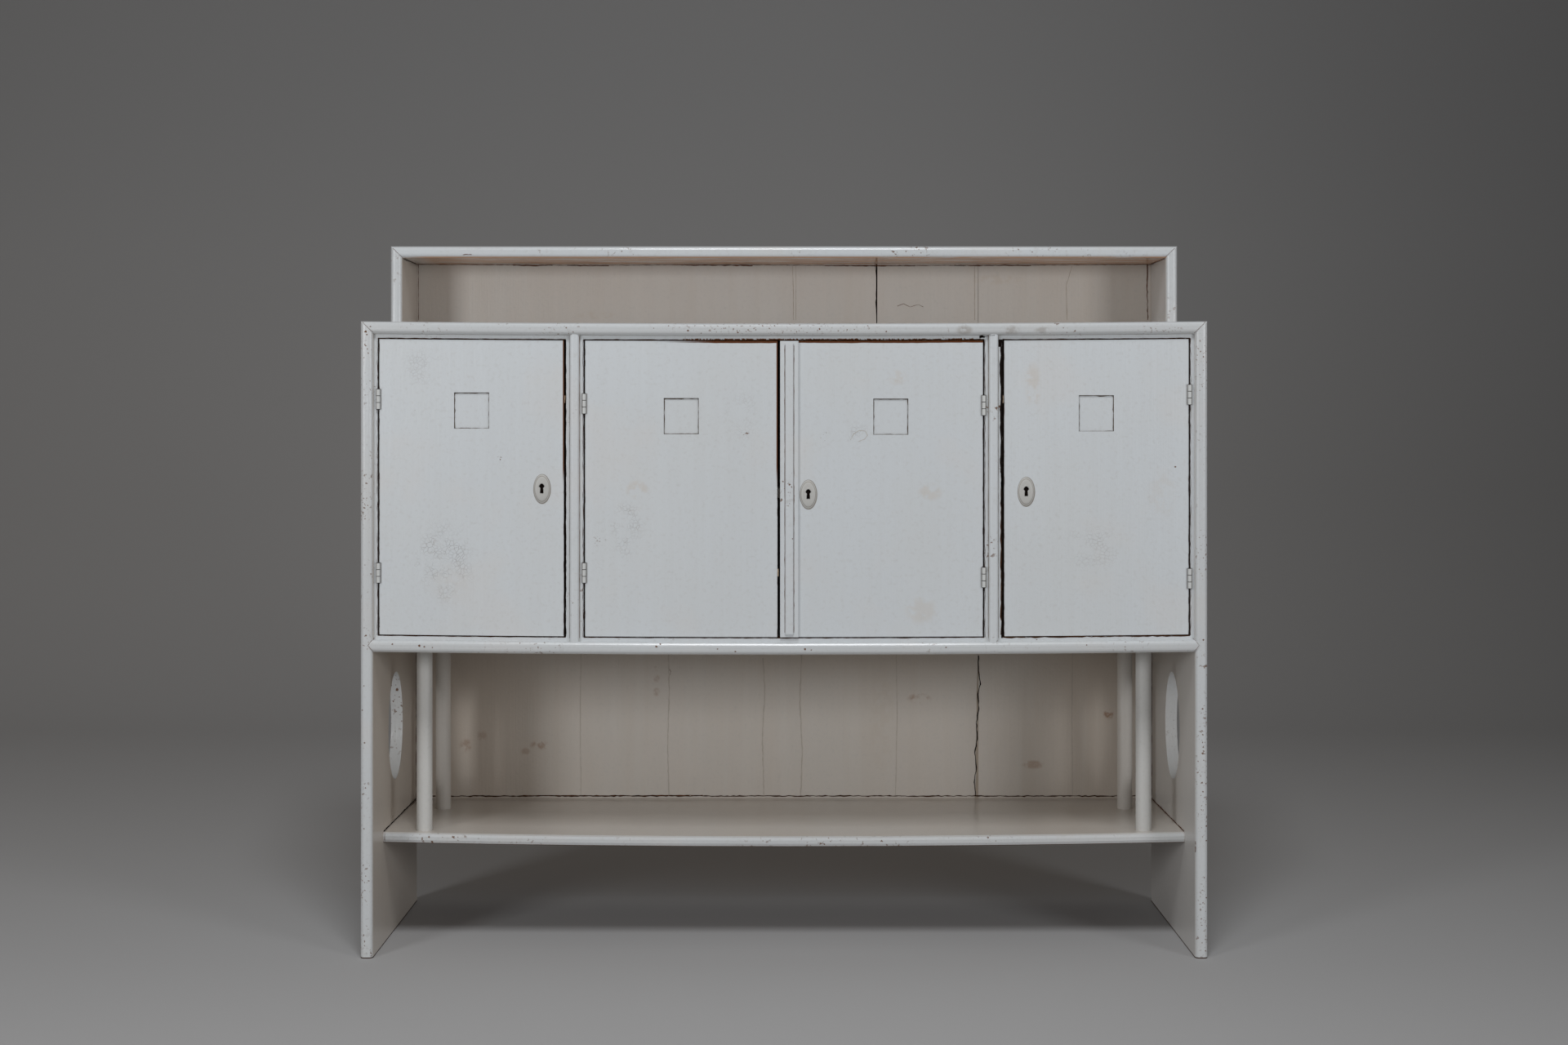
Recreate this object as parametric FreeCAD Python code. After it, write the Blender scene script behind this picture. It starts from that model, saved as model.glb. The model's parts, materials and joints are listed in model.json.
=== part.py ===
"""A white painted sideboard: a case with four doors, a low open hutch on its top, and an open bay
with round posts and a sagging shelf between its side boards.

Millimetres. X runs along the front to the right, Y from front to back and Z up. The origin lies at
floor level, in the middle of the overall width and depth.
"""

import FreeCAD
import Part
import math
import os

# Carcass. A board longer than ARC_FROM follows the sag in an arc, a shorter one is straight
WIDTH = 1500.0
DEPTH = 480.0
CASE_TOP_Z = 1128.0
HUTCH_RISE = 157.0
CASE_BOTTOM_Z = 542.0
BOARD = 22.0
NOSE_STEPS = 4
NOSE_RADIUS = 8.0
HUTCH_SETBACK = 296.0
FRONT_BOARD_WIDTH = 165.0
HOUSING_DEPTH = 6.0
HOUSING_STOP = 26.0
COPE_DEPTH = 12.0
TOP_SAG = 3.8
BOTTOM_SAG = 5.2
ARC_FROM = 100.0

# Back of vertical boards, widths as shares of the whole from left to right
BACK_THICK = 14.0
BACK_GAP = 0.8
BACK_SHARES = (185, 159, 176, 190, 72, 193, 160, 189, 176)
BACK_CRACK_JOINT = 7
BACK_CRACK_WIDTH = 7.0
BACK_CRACK_HEIGHT = 280.0
BACK_CRACK_STEPS = ((0.0, 1.0), (0.18, 0.55), (0.3, 0.8), (0.52, 0.35), (0.7, 0.5), (1.0, 0.1))
HUTCH_SPLIT_BOARD = 6
HUTCH_SPLIT_INSET = 41.0
HUTCH_SPLIT_WIDTH = 3.0
HUTCH_SPLIT_FOOT = 1.2

# Oval hand hole in each side board
OVAL_INSET = 231.0
OVAL_Z = 381.0
OVAL_WIDTH = 149.0
OVAL_HEIGHT = 200.0

# Lower shelf and its posts
SHELF_TOP_Z = 204.0
SHELF_THICK = 19.0
SHELF_SETBACK = 101.5
SHELF_SAG = 8.0
SHELF_NOSE = 6.5
SHELF_NOSE_STEPS = 2
POST_DIAMETER = 29.0
POST_OFFSET = 70.0
POST_INSETS = {"front": 134.0, "rear": 355.0}
POST_SOCKET = 8.0

# Partitions and the stepped strips round each door opening
PARTITION = 17.0
OUTER_COMPARTMENT = 348.0
PARTITION_SETBACK = 3.0
PARTITION_NOSE = 6.0
STRIP_WIDTH = 7.5
STRIP_DEPTH = 34.0
DOOR_SETBACK = 12.0

# Doors
DOOR_THICK = 20.0
END_GAP = 1.5
HINGE_GAP = 2.4
LATCH_GAP = 3.0
MEETING_GAP = 4.5
MEETING_X = -9.2
SQUARE_WIDTH = 62.0
SQUARE_HEIGHT = 64.0
SQUARE_DEPTH = 3.0
ASTRAGAL_WIDTH = 32.8
ASTRAGAL_THICK = 5.0
ASTRAGAL_NOSE = 1.5
BEAD_WIDTH = 15.0
BEAD_THICK = 4.0
BEAD_NOSE = 3.2
BEAD_DROP = 5.0

# Each door: hinge side, drop of the sunk square, upper and lower hinge insets, and the lock's
# backset from the latch edge and rise above the door's foot where the door has one
DOORS = {
    "outer_left": {"hinge": "left", "square": 95.0, "hinges": (107.0, 109.0), "lock": (39.0, 258.0)},
    "inner_left": {"hinge": "left", "square": 105.0, "hinges": (115.0, 109.0), "lock": None},
    "inner_right": {"hinge": "right", "square": 106.0, "hinges": (118.0, 101.0), "lock": (50.0, 248.0)},
    "outer_right": {"hinge": "right", "square": 100.0, "hinges": (99.0, 99.0), "lock": (39.0, 253.0)},
}

# Butt hinges of three knuckles
HINGE_HEIGHT = 36.0
BARREL_RADIUS = 3.25
PIN_RADIUS = 1.25
PIN_PLAY = 0.05
KNUCKLE_GAP = 0.3
LEAF_THICK = 1.1
LEAF_WIDTH = 13.0
BARREL_CLEAR = 0.15
LEAF_CLEAR = 0.3
BARREL_SIDES = 12

# Locks, let into the edges of three doors
ESCUTCHEON_WIDTH = 29.0
ESCUTCHEON_HEIGHT = 51.0
ESCUTCHEON_BASE = 1.2
ESCUTCHEON_DOME = 2.0
ESCUTCHEON_RIM = 3.0
ESCUTCHEON_EDGE = 0.5
ESCUTCHEON_CROWN = 5.0
ESCUTCHEON_SIDES = 28
KEY_RISE = 5.4
KEY_RADIUS = 3.6
KEY_SLOT_WIDTH = 3.4
KEY_SLOT_DROP = 13.0
LOCK_HEIGHT = 52.0
LOCK_THICK = 11.0
LOCK_TAIL = 14.0
LOCK_BELOW_KEY = 20.0
FACEPLATE_THICK = 2.0
FACEPLATE_HEIGHT = 66.0
FACEPLATE_WIDTH = 14.0
BOLT_HEIGHT = 14.0
BOLT_THICK = 6.0
BOLT_LENGTH = 36.0
BOLT_RISE = 16.0
BOLT_ENTRY = 5.0
BOLT_PLAY = 0.3
STRIKE_THICK = 1.2
STRIKE_HEIGHT = 36.0
STRIKE_WIDTH = 13.0

# Flat slide bolts on the back of the inner left door
SLIDE_WIDTH = 9.0
SLIDE_THICK = 4.0
SLIDE_LENGTH = 96.0
SLIDE_PLAY = 0.3
SLIDE_INSET = 26.0
SLIDE_ENTRY = 6.0
SLIDE_MARGIN = 2.0
KNOB_SIZE = 6.0
KNOB_LENGTH = 9.0
PLATE_THICK = 1.5
PLATE_WIDTH = 24.0
PLATE_MARGIN = 4.0
GUIDE_WIDTH = 16.0
GUIDE_HEIGHT = 9.0
GUIDE_DEPTH = 6.5

# Inner shelves, bearers, door stops and the small wooden shims in the door gaps
INNER_SHELF_THICK = 16.0
INNER_SHELF_RISE = 265.0
INNER_SHELF_SETBACK = 66.0
INNER_SHELF_PLAY = 1.0
BEARER_WIDTH = 16.0
BEARER_HEIGHT = 20.0
BEARER_SETBACK = 15.0
STOP_LENGTH = 18.0
STOP_DROP = 9.0
STOP_INSET = 70.0
SHIM_THICK = 1.8
SHIM_HEIGHT = 13.0
SHIM_DEPTH = 14.0
SHIM_DROP = 107.0
MEETING_SHIM_RISE = 109.0

# Directions, and how far an edge may lie from a plane or a direction and still count as in it
ALONG_X = FreeCAD.Vector(1, 0, 0)
ALONG_Z = FreeCAD.Vector(0, 0, 1)
IN_PLANE = 0.01
IN_LINE = 0.99

# Planes that several pieces share
FRONT_Y = -DEPTH / 2
BACK_Y = DEPTH / 2 - BACK_THICK
HUTCH_Y = FRONT_Y + HUTCH_SETBACK
FACE_Y = FRONT_Y + DOOR_SETBACK
DOOR_BACK_Y = FACE_Y + DOOR_THICK
OUTER_X = WIDTH / 2
INNER_X = OUTER_X - BOARD
UNCUT_X = OUTER_X + BOARD
POST_X = INNER_X - POST_OFFSET
PARTITION_X = INNER_X - OUTER_COMPARTMENT - PARTITION / 2
HUTCH_TOP_Z = CASE_TOP_Z + HUTCH_RISE
CASE_FLOOR_Z = CASE_BOTTOM_Z + BOARD
CASE_CEILING_Z = CASE_TOP_Z - BOARD
SHELF_Y = FRONT_Y + SHELF_SETBACK
SHELF_UNDER_Z = SHELF_TOP_Z - SHELF_THICK
DOOR_FOOT_Z = CASE_FLOOR_Z + STRIP_WIDTH + END_GAP
DOOR_HEAD_Z = CASE_CEILING_Z - STRIP_WIDTH - END_GAP
BARREL_Y = FACE_Y - BARREL_RADIUS - BARREL_CLEAR
LOCK_MID_Y = FACE_Y + DOOR_THICK / 2

# Levels that sag: each a height at the ends of the case and the sag in its middle
CASE_TOP = (CASE_TOP_Z, TOP_SAG)
CASE_CEILING = (CASE_CEILING_Z, TOP_SAG)
STRIP_HEAD = (CASE_CEILING_Z - STRIP_WIDTH, TOP_SAG)
DOOR_HEAD = (DOOR_HEAD_Z, TOP_SAG)
DOOR_FOOT = (DOOR_FOOT_Z, BOTTOM_SAG)
STRIP_FOOT = (CASE_FLOOR_Z + STRIP_WIDTH, BOTTOM_SAG)
CASE_FLOOR = (CASE_FLOOR_Z, BOTTOM_SAG)
CASE_UNDERSIDE = (CASE_BOTTOM_Z, BOTTOM_SAG)

# The three compartments, from the face of one upright to the face of the next
COMPARTMENTS = {
    "left": (-INNER_X, -PARTITION_X - PARTITION / 2),
    "centre": (-PARTITION_X + PARTITION / 2, PARTITION_X - PARTITION / 2),
    "right": (PARTITION_X + PARTITION / 2, INNER_X),
}


def block(x0, x1, y0, y1, z0, z1):
    """A box between two corners, given in any order."""
    corner = FreeCAD.Vector(min(x0, x1), min(y0, y1), min(z0, z1))
    return Part.makeBox(abs(x1 - x0), abs(y1 - y0), abs(z1 - z0), corner)


def rod(centre, radius, length, direction):
    """A cylinder that starts at centre and runs along direction."""
    return Part.makeCylinder(radius, length, FreeCAD.Vector(*centre), FreeCAD.Vector(*direction))


def prism(outline, y0, y1):
    """A solid whose outline, a list of (x, z) points, runs from y0 to y1."""
    ring = [FreeCAD.Vector(x, y0, z) for x, z in outline]
    face = Part.Face(Part.makePolygon(ring + ring[:1]))
    return face.extrude(FreeCAD.Vector(0, y1 - y0, 0))


def at_x(x, level):
    """The height of a sagging level at x, on a shallow arc between the outsides of the case."""
    z, sag = level
    radius = (OUTER_X ** 2 + sag ** 2) / (2 * sag)
    return z - sag + radius - math.sqrt(radius ** 2 - x ** 2)


def bowed(x0, x1, y0, y1, low, high):
    """A block whose underside and top follow two sagging levels. A narrow one has straight edges."""
    rows = []
    for level in (low, high):
        rows.append([FreeCAD.Vector(x, y0, at_x(x, level)) for x in (x0, (x0 + x1) / 2, x1)])
    edges = [Part.makeLine(rows[0][0], rows[1][0]), Part.makeLine(rows[0][2], rows[1][2])]
    for left, middle, right in rows:
        if x1 - x0 > ARC_FROM:
            edges.append(Part.Arc(left, middle, right).toShape())
        else:
            edges.append(Part.makeLine(left, right))
    face = Part.Face(Part.Wire(Part.__sortEdges__(edges)))
    return face.extrude(FreeCAD.Vector(0, y1 - y0, 0))


def ring_points(centre, wide, high, sides, along):
    """Points on an oval about centre, square to Y or to Z."""
    ring = []
    for step in range(sides):
        turn = 2 * math.pi * step / sides
        across, up = wide * math.sin(turn), high * math.cos(turn)
        offset = (across, 0, up) if along == "y" else (across, up, 0)
        ring.append(FreeCAD.Vector(*centre) + FreeCAD.Vector(*offset))
    return ring


def faceted(rings):
    """A solid whose skin joins rings of as many points each, with a flat face at either end."""
    faces = [Part.Face(Part.makePolygon(ring + ring[:1])) for ring in (rings[0], rings[-1])]
    for near, far in zip(rings, rings[1:]):
        for index in range(len(near)):
            before = index - 1
            for third, last in ((near[index], far[index]), (far[index], far[before])):
                faces.append(Part.Face(Part.makePolygon([near[before], third, last, near[before]])))
    return Part.makeSolid(Part.makeShell(faces)).removeSplitter()


def front_edges(board, front, along):
    """The edges of a board that lie in the plane y = front and run along the given axis."""
    found = []
    for edge in board.Edges:
        first, last = edge.Vertexes[0].Point, edge.Vertexes[-1].Point
        run = last - first
        in_plane = abs(first.y - front) < IN_PLANE and abs(last.y - front) < IN_PLANE
        if in_plane and abs(run.dot(along)) > IN_LINE * max(run.Length, 1):
            found.append(edge)
    return found


def nosed(board, radius, along):
    """The board with its two front edges rounded."""
    front = board.BoundBox.YMin
    return board.makeFillet(radius, front_edges(board, front, along))


def mirrored(shape):
    """The same shape on the other side of the middle plane."""
    return shape.mirror(FreeCAD.Vector(0, 0, 0), FreeCAD.Vector(1, 0, 0))


def save(name, *solids):
    """Writes one node, a single solid or a group of separate ones."""
    shape = solids[0] if len(solids) == 1 else Part.makeCompound(list(solids))
    shape.exportStep(f"parts/{name}.step")


def mitred_plan(top_z, y0, y1):
    """The space that a top board may fill. Its ends are mitred at 45 degrees into the side boards."""
    outline = [
        (-INNER_X, top_z - 2 * BOARD),
        (INNER_X, top_z - 2 * BOARD),
        (INNER_X, top_z - BOARD),
        (UNCUT_X, top_z + BOARD),
        (-UNCUT_X, top_z + BOARD),
        (-INNER_X, top_z - BOARD),
    ]
    return prism(outline, y0, y1)


def case_top_plan():
    """Mitred at the ends in front of the hutch and housed in the side boards under it."""
    housed_x = INNER_X + HOUSING_DEPTH
    front = mitred_plan(CASE_TOP_Z, FRONT_Y, HUTCH_Y)
    rear = block(-housed_x, housed_x, HUTCH_Y, BACK_Y, CASE_TOP_Z - 2 * BOARD, CASE_TOP_Z)
    return front, rear


def case_bottom_plan():
    """Its nose runs to a point on the side boards' centre lines, and its ends are housed behind."""
    low_z = CASE_BOTTOM_Z - BOTTOM_SAG
    middle_z = CASE_BOTTOM_Z + BOARD / 2
    point_x = OUTER_X - BOARD / 2
    outline = [
        (-INNER_X, low_z),
        (INNER_X, low_z),
        (INNER_X, CASE_BOTTOM_Z),
        (point_x, middle_z),
        (INNER_X, CASE_FLOOR_Z),
        (-INNER_X, CASE_FLOOR_Z),
        (-point_x, middle_z),
        (-INNER_X, CASE_BOTTOM_Z),
    ]
    housed_x = INNER_X + HOUSING_DEPTH
    stop_y = FRONT_Y + HOUSING_STOP
    nose = prism(outline, FRONT_Y, FRONT_Y + COPE_DEPTH)
    middle = block(-INNER_X, INNER_X, FRONT_Y + COPE_DEPTH, stop_y, low_z, CASE_FLOOR_Z)
    rear = block(-housed_x, housed_x, stop_y, BACK_Y, low_z, CASE_FLOOR_Z)
    return nose.fuse([middle, rear]).removeSplitter()


def case_slab(low, high):
    """A board between two sagging levels, before its edges are rounded and its ends are cut."""
    return bowed(-UNCUT_X, UNCUT_X, FRONT_Y, BACK_Y, low, high)


def slab_outline(y, inset, low, high):
    """The section at y of a sagging board, thinned by inset above and below."""
    rows = []
    for level, lift in ((low, inset), (high, -inset)):
        rows.append([FreeCAD.Vector(x, y, at_x(x, level) + lift) for x in (-UNCUT_X, 0, UNCUT_X)])
    edges = [Part.Arc(*row).toShape() for row in rows]
    edges.append(Part.makeLine(rows[0][0], rows[1][0]))
    edges.append(Part.makeLine(rows[0][2], rows[1][2]))
    return Part.Wire(Part.__sortEdges__(edges))


def nosed_slab(low, high):
    """A board between two sagging levels with its nose rounded, before its ends are cut."""
    outlines = []
    for step in range(NOSE_STEPS + 1):
        turn = math.pi / 2 * step / NOSE_STEPS
        y = FRONT_Y + NOSE_RADIUS * (1 - math.cos(turn))
        outlines.append(slab_outline(y, NOSE_RADIUS * (1 - math.sin(turn)), low, high))
    outlines.append(slab_outline(BACK_Y, 0, low, high))
    return Part.makeLoft(outlines, True, True)


def case_top():
    """The top of the case with its rounded nose."""
    front, rear = case_top_plan()
    return nosed_slab(CASE_CEILING, CASE_TOP).common(front.fuse(rear))


def case_bottom():
    """The bottom of the case with its rounded nose."""
    return nosed_slab(CASE_UNDERSIDE, CASE_FLOOR).common(case_bottom_plan())


def hutch_top():
    """The straight top of the hutch, mitred at both ends."""
    board = block(-UNCUT_X, UNCUT_X, HUTCH_Y, BACK_Y, HUTCH_TOP_Z - BOARD, HUTCH_TOP_Z)
    return nosed(board, NOSE_RADIUS, ALONG_X).common(mitred_plan(HUTCH_TOP_Z, HUTCH_Y, BACK_Y))


def shelf_outline(y, trim):
    """The closed outline of the lower shelf at one depth, thinner by trim above and below."""
    sag = SHELF_SAG * (BACK_Y - y) / (BACK_Y - SHELF_Y)
    corners = {}
    for level, z in (("top", SHELF_TOP_Z - trim), ("under", SHELF_UNDER_Z + trim)):
        corners[level] = (
            FreeCAD.Vector(-INNER_X, y, z),
            FreeCAD.Vector(0, y, z - sag),
            FreeCAD.Vector(INNER_X, y, z),
        )
    edges = []
    for left, middle, right in (corners["top"], corners["under"]):
        if sag > 0:
            edges.append(Part.Arc(left, middle, right).toShape())
        else:
            edges.append(Part.makeLine(left, right))
    edges.append(Part.makeLine(corners["top"][0], corners["under"][0]))
    edges.append(Part.makeLine(corners["top"][2], corners["under"][2]))
    return Part.Wire(Part.__sortEdges__(edges))


def shelf_tongues():
    """The ends of the lower shelf that lie in the side boards."""
    stop_y = SHELF_Y + HOUSING_STOP
    housed_x = INNER_X + HOUSING_DEPTH
    left = block(-housed_x, -INNER_X, stop_y, BACK_Y, SHELF_UNDER_Z, SHELF_TOP_Z)
    return [left, mirrored(left)]


def lower_shelf():
    """A board that sags most at its front edge, which is rounded, and is straight along its back."""
    outlines = []
    for step in range(SHELF_NOSE_STEPS + 1):
        turn = math.pi / 2 * step / SHELF_NOSE_STEPS
        y = SHELF_Y + SHELF_NOSE * (1 - math.cos(turn))
        outlines.append(shelf_outline(y, SHELF_NOSE * (1 - math.sin(turn))))
    outlines.append(shelf_outline(BACK_Y, 0))
    board = Part.makeLoft(outlines, True, True)
    return board.fuse(shelf_tongues()).cut(posts())


def post(side, place):
    """One round post, let into the shelf and into the underside of the case."""
    x = POST_X if side == "right" else -POST_X
    foot_z = SHELF_TOP_Z - POST_SOCKET
    height = CASE_BOTTOM_Z + POST_SOCKET - foot_z
    return rod((x, FRONT_Y + POST_INSETS[place], foot_z), POST_DIAMETER / 2, height, (0, 0, 1))


def posts():
    """All four posts."""
    return [post(side, place) for side in ("left", "right") for place in POST_INSETS]


def oval_hole():
    """The space of the left hand hole, right through the side board."""
    ellipse = Part.Ellipse(FreeCAD.Vector(0, 0, 0), OVAL_HEIGHT / 2, OVAL_WIDTH / 2)
    face = Part.Face(Part.Wire(ellipse.toShape()))
    solid = face.extrude(FreeCAD.Vector(0, 0, 3 * BOARD))
    # The long axis is turned upright and the thickness is laid along X.
    solid.rotate(FreeCAD.Vector(0, 0, 0), FreeCAD.Vector(0, 1, 0), -90)
    solid.translate(FreeCAD.Vector(-OUTER_X + 2 * BOARD, FRONT_Y + OVAL_INSET, OVAL_Z))
    return solid


def side_boards():
    """The left side: a narrow front board glued to a wider rear one that runs up into the hutch."""
    case_part = block(-OUTER_X, -INNER_X, FRONT_Y, BACK_Y, 0, CASE_TOP_Z)
    case_part = nosed(case_part, NOSE_RADIUS, ALONG_Z)
    hutch_part = block(-OUTER_X, -INNER_X, HUTCH_Y, BACK_Y, CASE_TOP_Z, HUTCH_TOP_Z)
    hutch_part = nosed(hutch_part, NOSE_RADIUS, ALONG_Z)
    side = case_part.fuse(hutch_part)
    mitre, housing = case_top_plan()
    joints = [
        mitre,
        housing.common(case_slab(CASE_CEILING, CASE_TOP)),
        case_bottom_plan().common(case_slab(CASE_UNDERSIDE, CASE_FLOOR)),
        mitred_plan(HUTCH_TOP_Z, HUTCH_Y, BACK_Y),
        shelf_tongues()[0],
        oval_hole(),
    ]
    side = side.cut(joints).removeSplitter()
    seam_y = FRONT_Y + FRONT_BOARD_WIDTH
    ahead = block(-OUTER_X, -INNER_X, FRONT_Y, seam_y, 0, HUTCH_TOP_Z)
    return side.common(ahead), side.cut(ahead)


def partition_grooves(x):
    """The grooves for a partition's tongues in the case bottom and in the case top."""
    x0, x1 = x - PARTITION / 2, x + PARTITION / 2
    stop_y = FRONT_Y + HOUSING_STOP
    grooves = []
    for level in (CASE_FLOOR, CASE_CEILING):
        z = at_x(x, level)
        grooves.append(block(x0, x1, stop_y, BACK_Y, z - HOUSING_DEPTH, z + HOUSING_DEPTH))
    return grooves


def partition(x, boards):
    """An upright with a rounded front edge, coped over the noses of the boards that it meets."""
    front_y = FRONT_Y + PARTITION_SETBACK
    low_z = at_x(x, CASE_FLOOR) - HOUSING_DEPTH
    high_z = at_x(x, CASE_CEILING) + HOUSING_DEPTH
    board = block(x - PARTITION / 2, x + PARTITION / 2, front_y, BACK_Y, low_z, high_z)
    return nosed(board, PARTITION_NOSE, ALONG_Z).cut(boards)


def back_board_edges():
    """Left and right edge of each back board."""
    total = sum(BACK_SHARES)
    x = -OUTER_X
    edges = []
    for share in BACK_SHARES:
        width = WIDTH * share / total
        edges.append((x, x + width))
        x += width
    return edges


def back_crack(x):
    """The jagged opening where one board has shrunk and split along its edge, widest at its foot."""
    foot_z = SHELF_TOP_Z
    outline = [(x + BACK_CRACK_WIDTH, foot_z), (x + BACK_CRACK_WIDTH, foot_z + BACK_CRACK_HEIGHT)]
    for rise, share in reversed(BACK_CRACK_STEPS):
        outline.append((x - BACK_CRACK_WIDTH * share, foot_z + BACK_CRACK_HEIGHT * rise))
    return prism(outline, BACK_Y, DEPTH / 2)


def hutch_split(right):
    """The narrow split in the back of the hutch, open at its head, near one board's right edge."""
    x = right - HUTCH_SPLIT_INSET
    foot, head = HUTCH_SPLIT_FOOT / 2, HUTCH_SPLIT_WIDTH / 2
    middle_z = (CASE_TOP_Z + HUTCH_TOP_Z) / 2
    outline = [
        (x + foot, CASE_CEILING_Z),
        (x + head, HUTCH_TOP_Z),
        (x - head, HUTCH_TOP_Z),
        (x + head - HUTCH_SPLIT_WIDTH, middle_z),
        (x - foot, CASE_CEILING_Z),
    ]
    return prism(outline, BACK_Y, DEPTH / 2)


def back_board(number):
    """One vertical board of the back, from the underside of the shelf to the top of the hutch."""
    left, right = back_board_edges()[number - 1]
    x0 = left + (BACK_GAP / 2 if number > 1 else 0)
    x1 = right - (BACK_GAP / 2 if number < len(BACK_SHARES) else 0)
    board = block(x0, x1, BACK_Y, DEPTH / 2, SHELF_UNDER_Z, HUTCH_TOP_Z)
    if number == BACK_CRACK_JOINT:
        board = board.cut(back_crack(right))
    if number == HUTCH_SPLIT_BOARD:
        board = board.cut(hutch_split(right))
    return board


def strips(compartment):
    """The four strips round one door opening: the uprights run through, the others lie between."""
    x0, x1 = COMPARTMENTS[compartment]
    y0, y1 = FACE_Y, FACE_Y + STRIP_DEPTH
    inner0, inner1 = x0 + STRIP_WIDTH, x1 - STRIP_WIDTH
    pieces = [
        bowed(x0, inner0, y0, y1, CASE_FLOOR, CASE_CEILING),
        bowed(inner1, x1, y0, y1, CASE_FLOOR, CASE_CEILING),
        bowed(inner0, inner1, y0, y1, CASE_FLOOR, STRIP_FOOT),
        bowed(inner0, inner1, y0, y1, STRIP_HEAD, CASE_CEILING),
    ]
    cutters = {
        "left": strike_cutters("outer_left"),
        "centre": [slide_socket("top"), slide_socket("bottom")],
        "right": strike_cutters("outer_right"),
    }[compartment]
    return [piece.cut(cutters) for piece in pieces]


def opening(door):
    """The space between the strips that a door stands in, from left to right."""
    compartment = {"outer_left": "left", "outer_right": "right"}.get(door, "centre")
    x0, x1 = COMPARTMENTS[compartment]
    return x0 + STRIP_WIDTH, x1 - STRIP_WIDTH


def door_edges(door):
    """Left and right edge of a door."""
    x0, x1 = opening(door)
    return {
        "outer_left": (x0 + HINGE_GAP, x1 - LATCH_GAP),
        "inner_left": (x0 + HINGE_GAP, MEETING_X - MEETING_GAP / 2),
        "inner_right": (MEETING_X + MEETING_GAP / 2, x1 - HINGE_GAP),
        "outer_right": (x0 + LATCH_GAP, x1 - HINGE_GAP),
    }[door]


def latch_edge(door):
    """The x of a door's latch edge, and the direction from it into the door."""
    left, right = door_edges(door)
    return (right, -1) if DOORS[door]["hinge"] == "left" else (left, 1)


def key_centre(door):
    """Where the round part of the keyhole is."""
    backset, rise = DOORS[door]["lock"]
    edge, inward = latch_edge(door)
    return edge + inward * backset, DOOR_FOOT_Z + rise + KEY_RISE


def keyhole(door, y0, y1):
    """The keyhole's space from y0 to y1: a round hole with a slot below it."""
    x, z = key_centre(door)
    hole = rod((x, y0, z), KEY_RADIUS, y1 - y0, (0, 1, 0))
    half = KEY_SLOT_WIDTH / 2
    return hole.fuse(block(x - half, x + half, y0, y1, z - KEY_SLOT_DROP, z)).removeSplitter()


def lock_case_blank(door):
    """The outside of a lock: the case in the door's thickness and its plate on the door's edge."""
    edge, inward = latch_edge(door)
    backset = DOORS[door]["lock"][0]
    low_z = key_centre(door)[1] - LOCK_BELOW_KEY
    half = LOCK_THICK / 2
    far_x = edge + inward * (backset + LOCK_TAIL)
    case = block(edge, far_x, LOCK_MID_Y - half, LOCK_MID_Y + half, low_z, low_z + LOCK_HEIGHT)
    middle_z = low_z + LOCK_HEIGHT / 2
    half = FACEPLATE_WIDTH / 2
    half_z = FACEPLATE_HEIGHT / 2
    plate_x = edge + inward * FACEPLATE_THICK
    plate = block(edge, plate_x, LOCK_MID_Y - half, LOCK_MID_Y + half, middle_z - half_z, middle_z + half_z)
    return case.fuse(plate).removeSplitter()


def bolt_space(door, start, length, play):
    """A bolt's space. It starts at a distance outside the door's edge and runs into the door."""
    edge, inward = latch_edge(door)
    x0 = edge - inward * start
    z = key_centre(door)[1] + BOLT_RISE
    half_y = BOLT_THICK / 2 + play
    half_z = BOLT_HEIGHT / 2 + play
    x1 = x0 + inward * length
    return block(x0, x1, LOCK_MID_Y - half_y, LOCK_MID_Y + half_y, z - half_z, z + half_z)


def lock_case(door):
    """The lock's housing, with the bolt's channel and the keyhole."""
    channel = bolt_space(door, 0, BOLT_LENGTH + 2 * BOLT_PLAY, BOLT_PLAY)
    return lock_case_blank(door).cut([channel, keyhole(door, FACE_Y, DOOR_BACK_Y)])


def lock_bolt(door):
    """The bolt, drawn back until it is just below its plate."""
    return bolt_space(door, -BOLT_PLAY, BOLT_LENGTH, 0)


def strike_blank(door):
    """The plate that takes a bolt, let into the piece that faces the door's latch edge."""
    edge, inward = latch_edge(door)
    gap = MEETING_GAP if door == "inner_right" else LATCH_GAP
    x0 = edge - inward * gap
    z = key_centre(door)[1] + BOLT_RISE
    half_y, half_z = STRIKE_WIDTH / 2, STRIKE_HEIGHT / 2
    x1 = x0 - inward * STRIKE_THICK
    return block(x0, x1, LOCK_MID_Y - half_y, LOCK_MID_Y + half_y, z - half_z, z + half_z)


def bolt_pocket(door):
    """The space that a thrown bolt needs beyond its door."""
    gap = MEETING_GAP if door == "inner_right" else LATCH_GAP
    reach = gap + BOLT_ENTRY + BOLT_PLAY
    return bolt_space(door, reach, reach, BOLT_PLAY)


def strike_cutters(door):
    """What is cut out of the piece that faces a lock."""
    return [strike_blank(door), bolt_pocket(door)]


def strike_plate(door):
    """A thin plate with a slot for the bolt."""
    return strike_blank(door).cut(bolt_pocket(door))


def oval_outline(door, inset, lift):
    """An oval inside a keyhole plate's edge by inset, in front of the door's face by lift."""
    x, z = key_centre(door)
    wide, high = ESCUTCHEON_WIDTH / 2 - inset, ESCUTCHEON_HEIGHT / 2 - inset
    return ring_points((x, FACE_Y - lift, z - KEY_RISE), wide, high, ESCUTCHEON_SIDES, "y")


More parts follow.
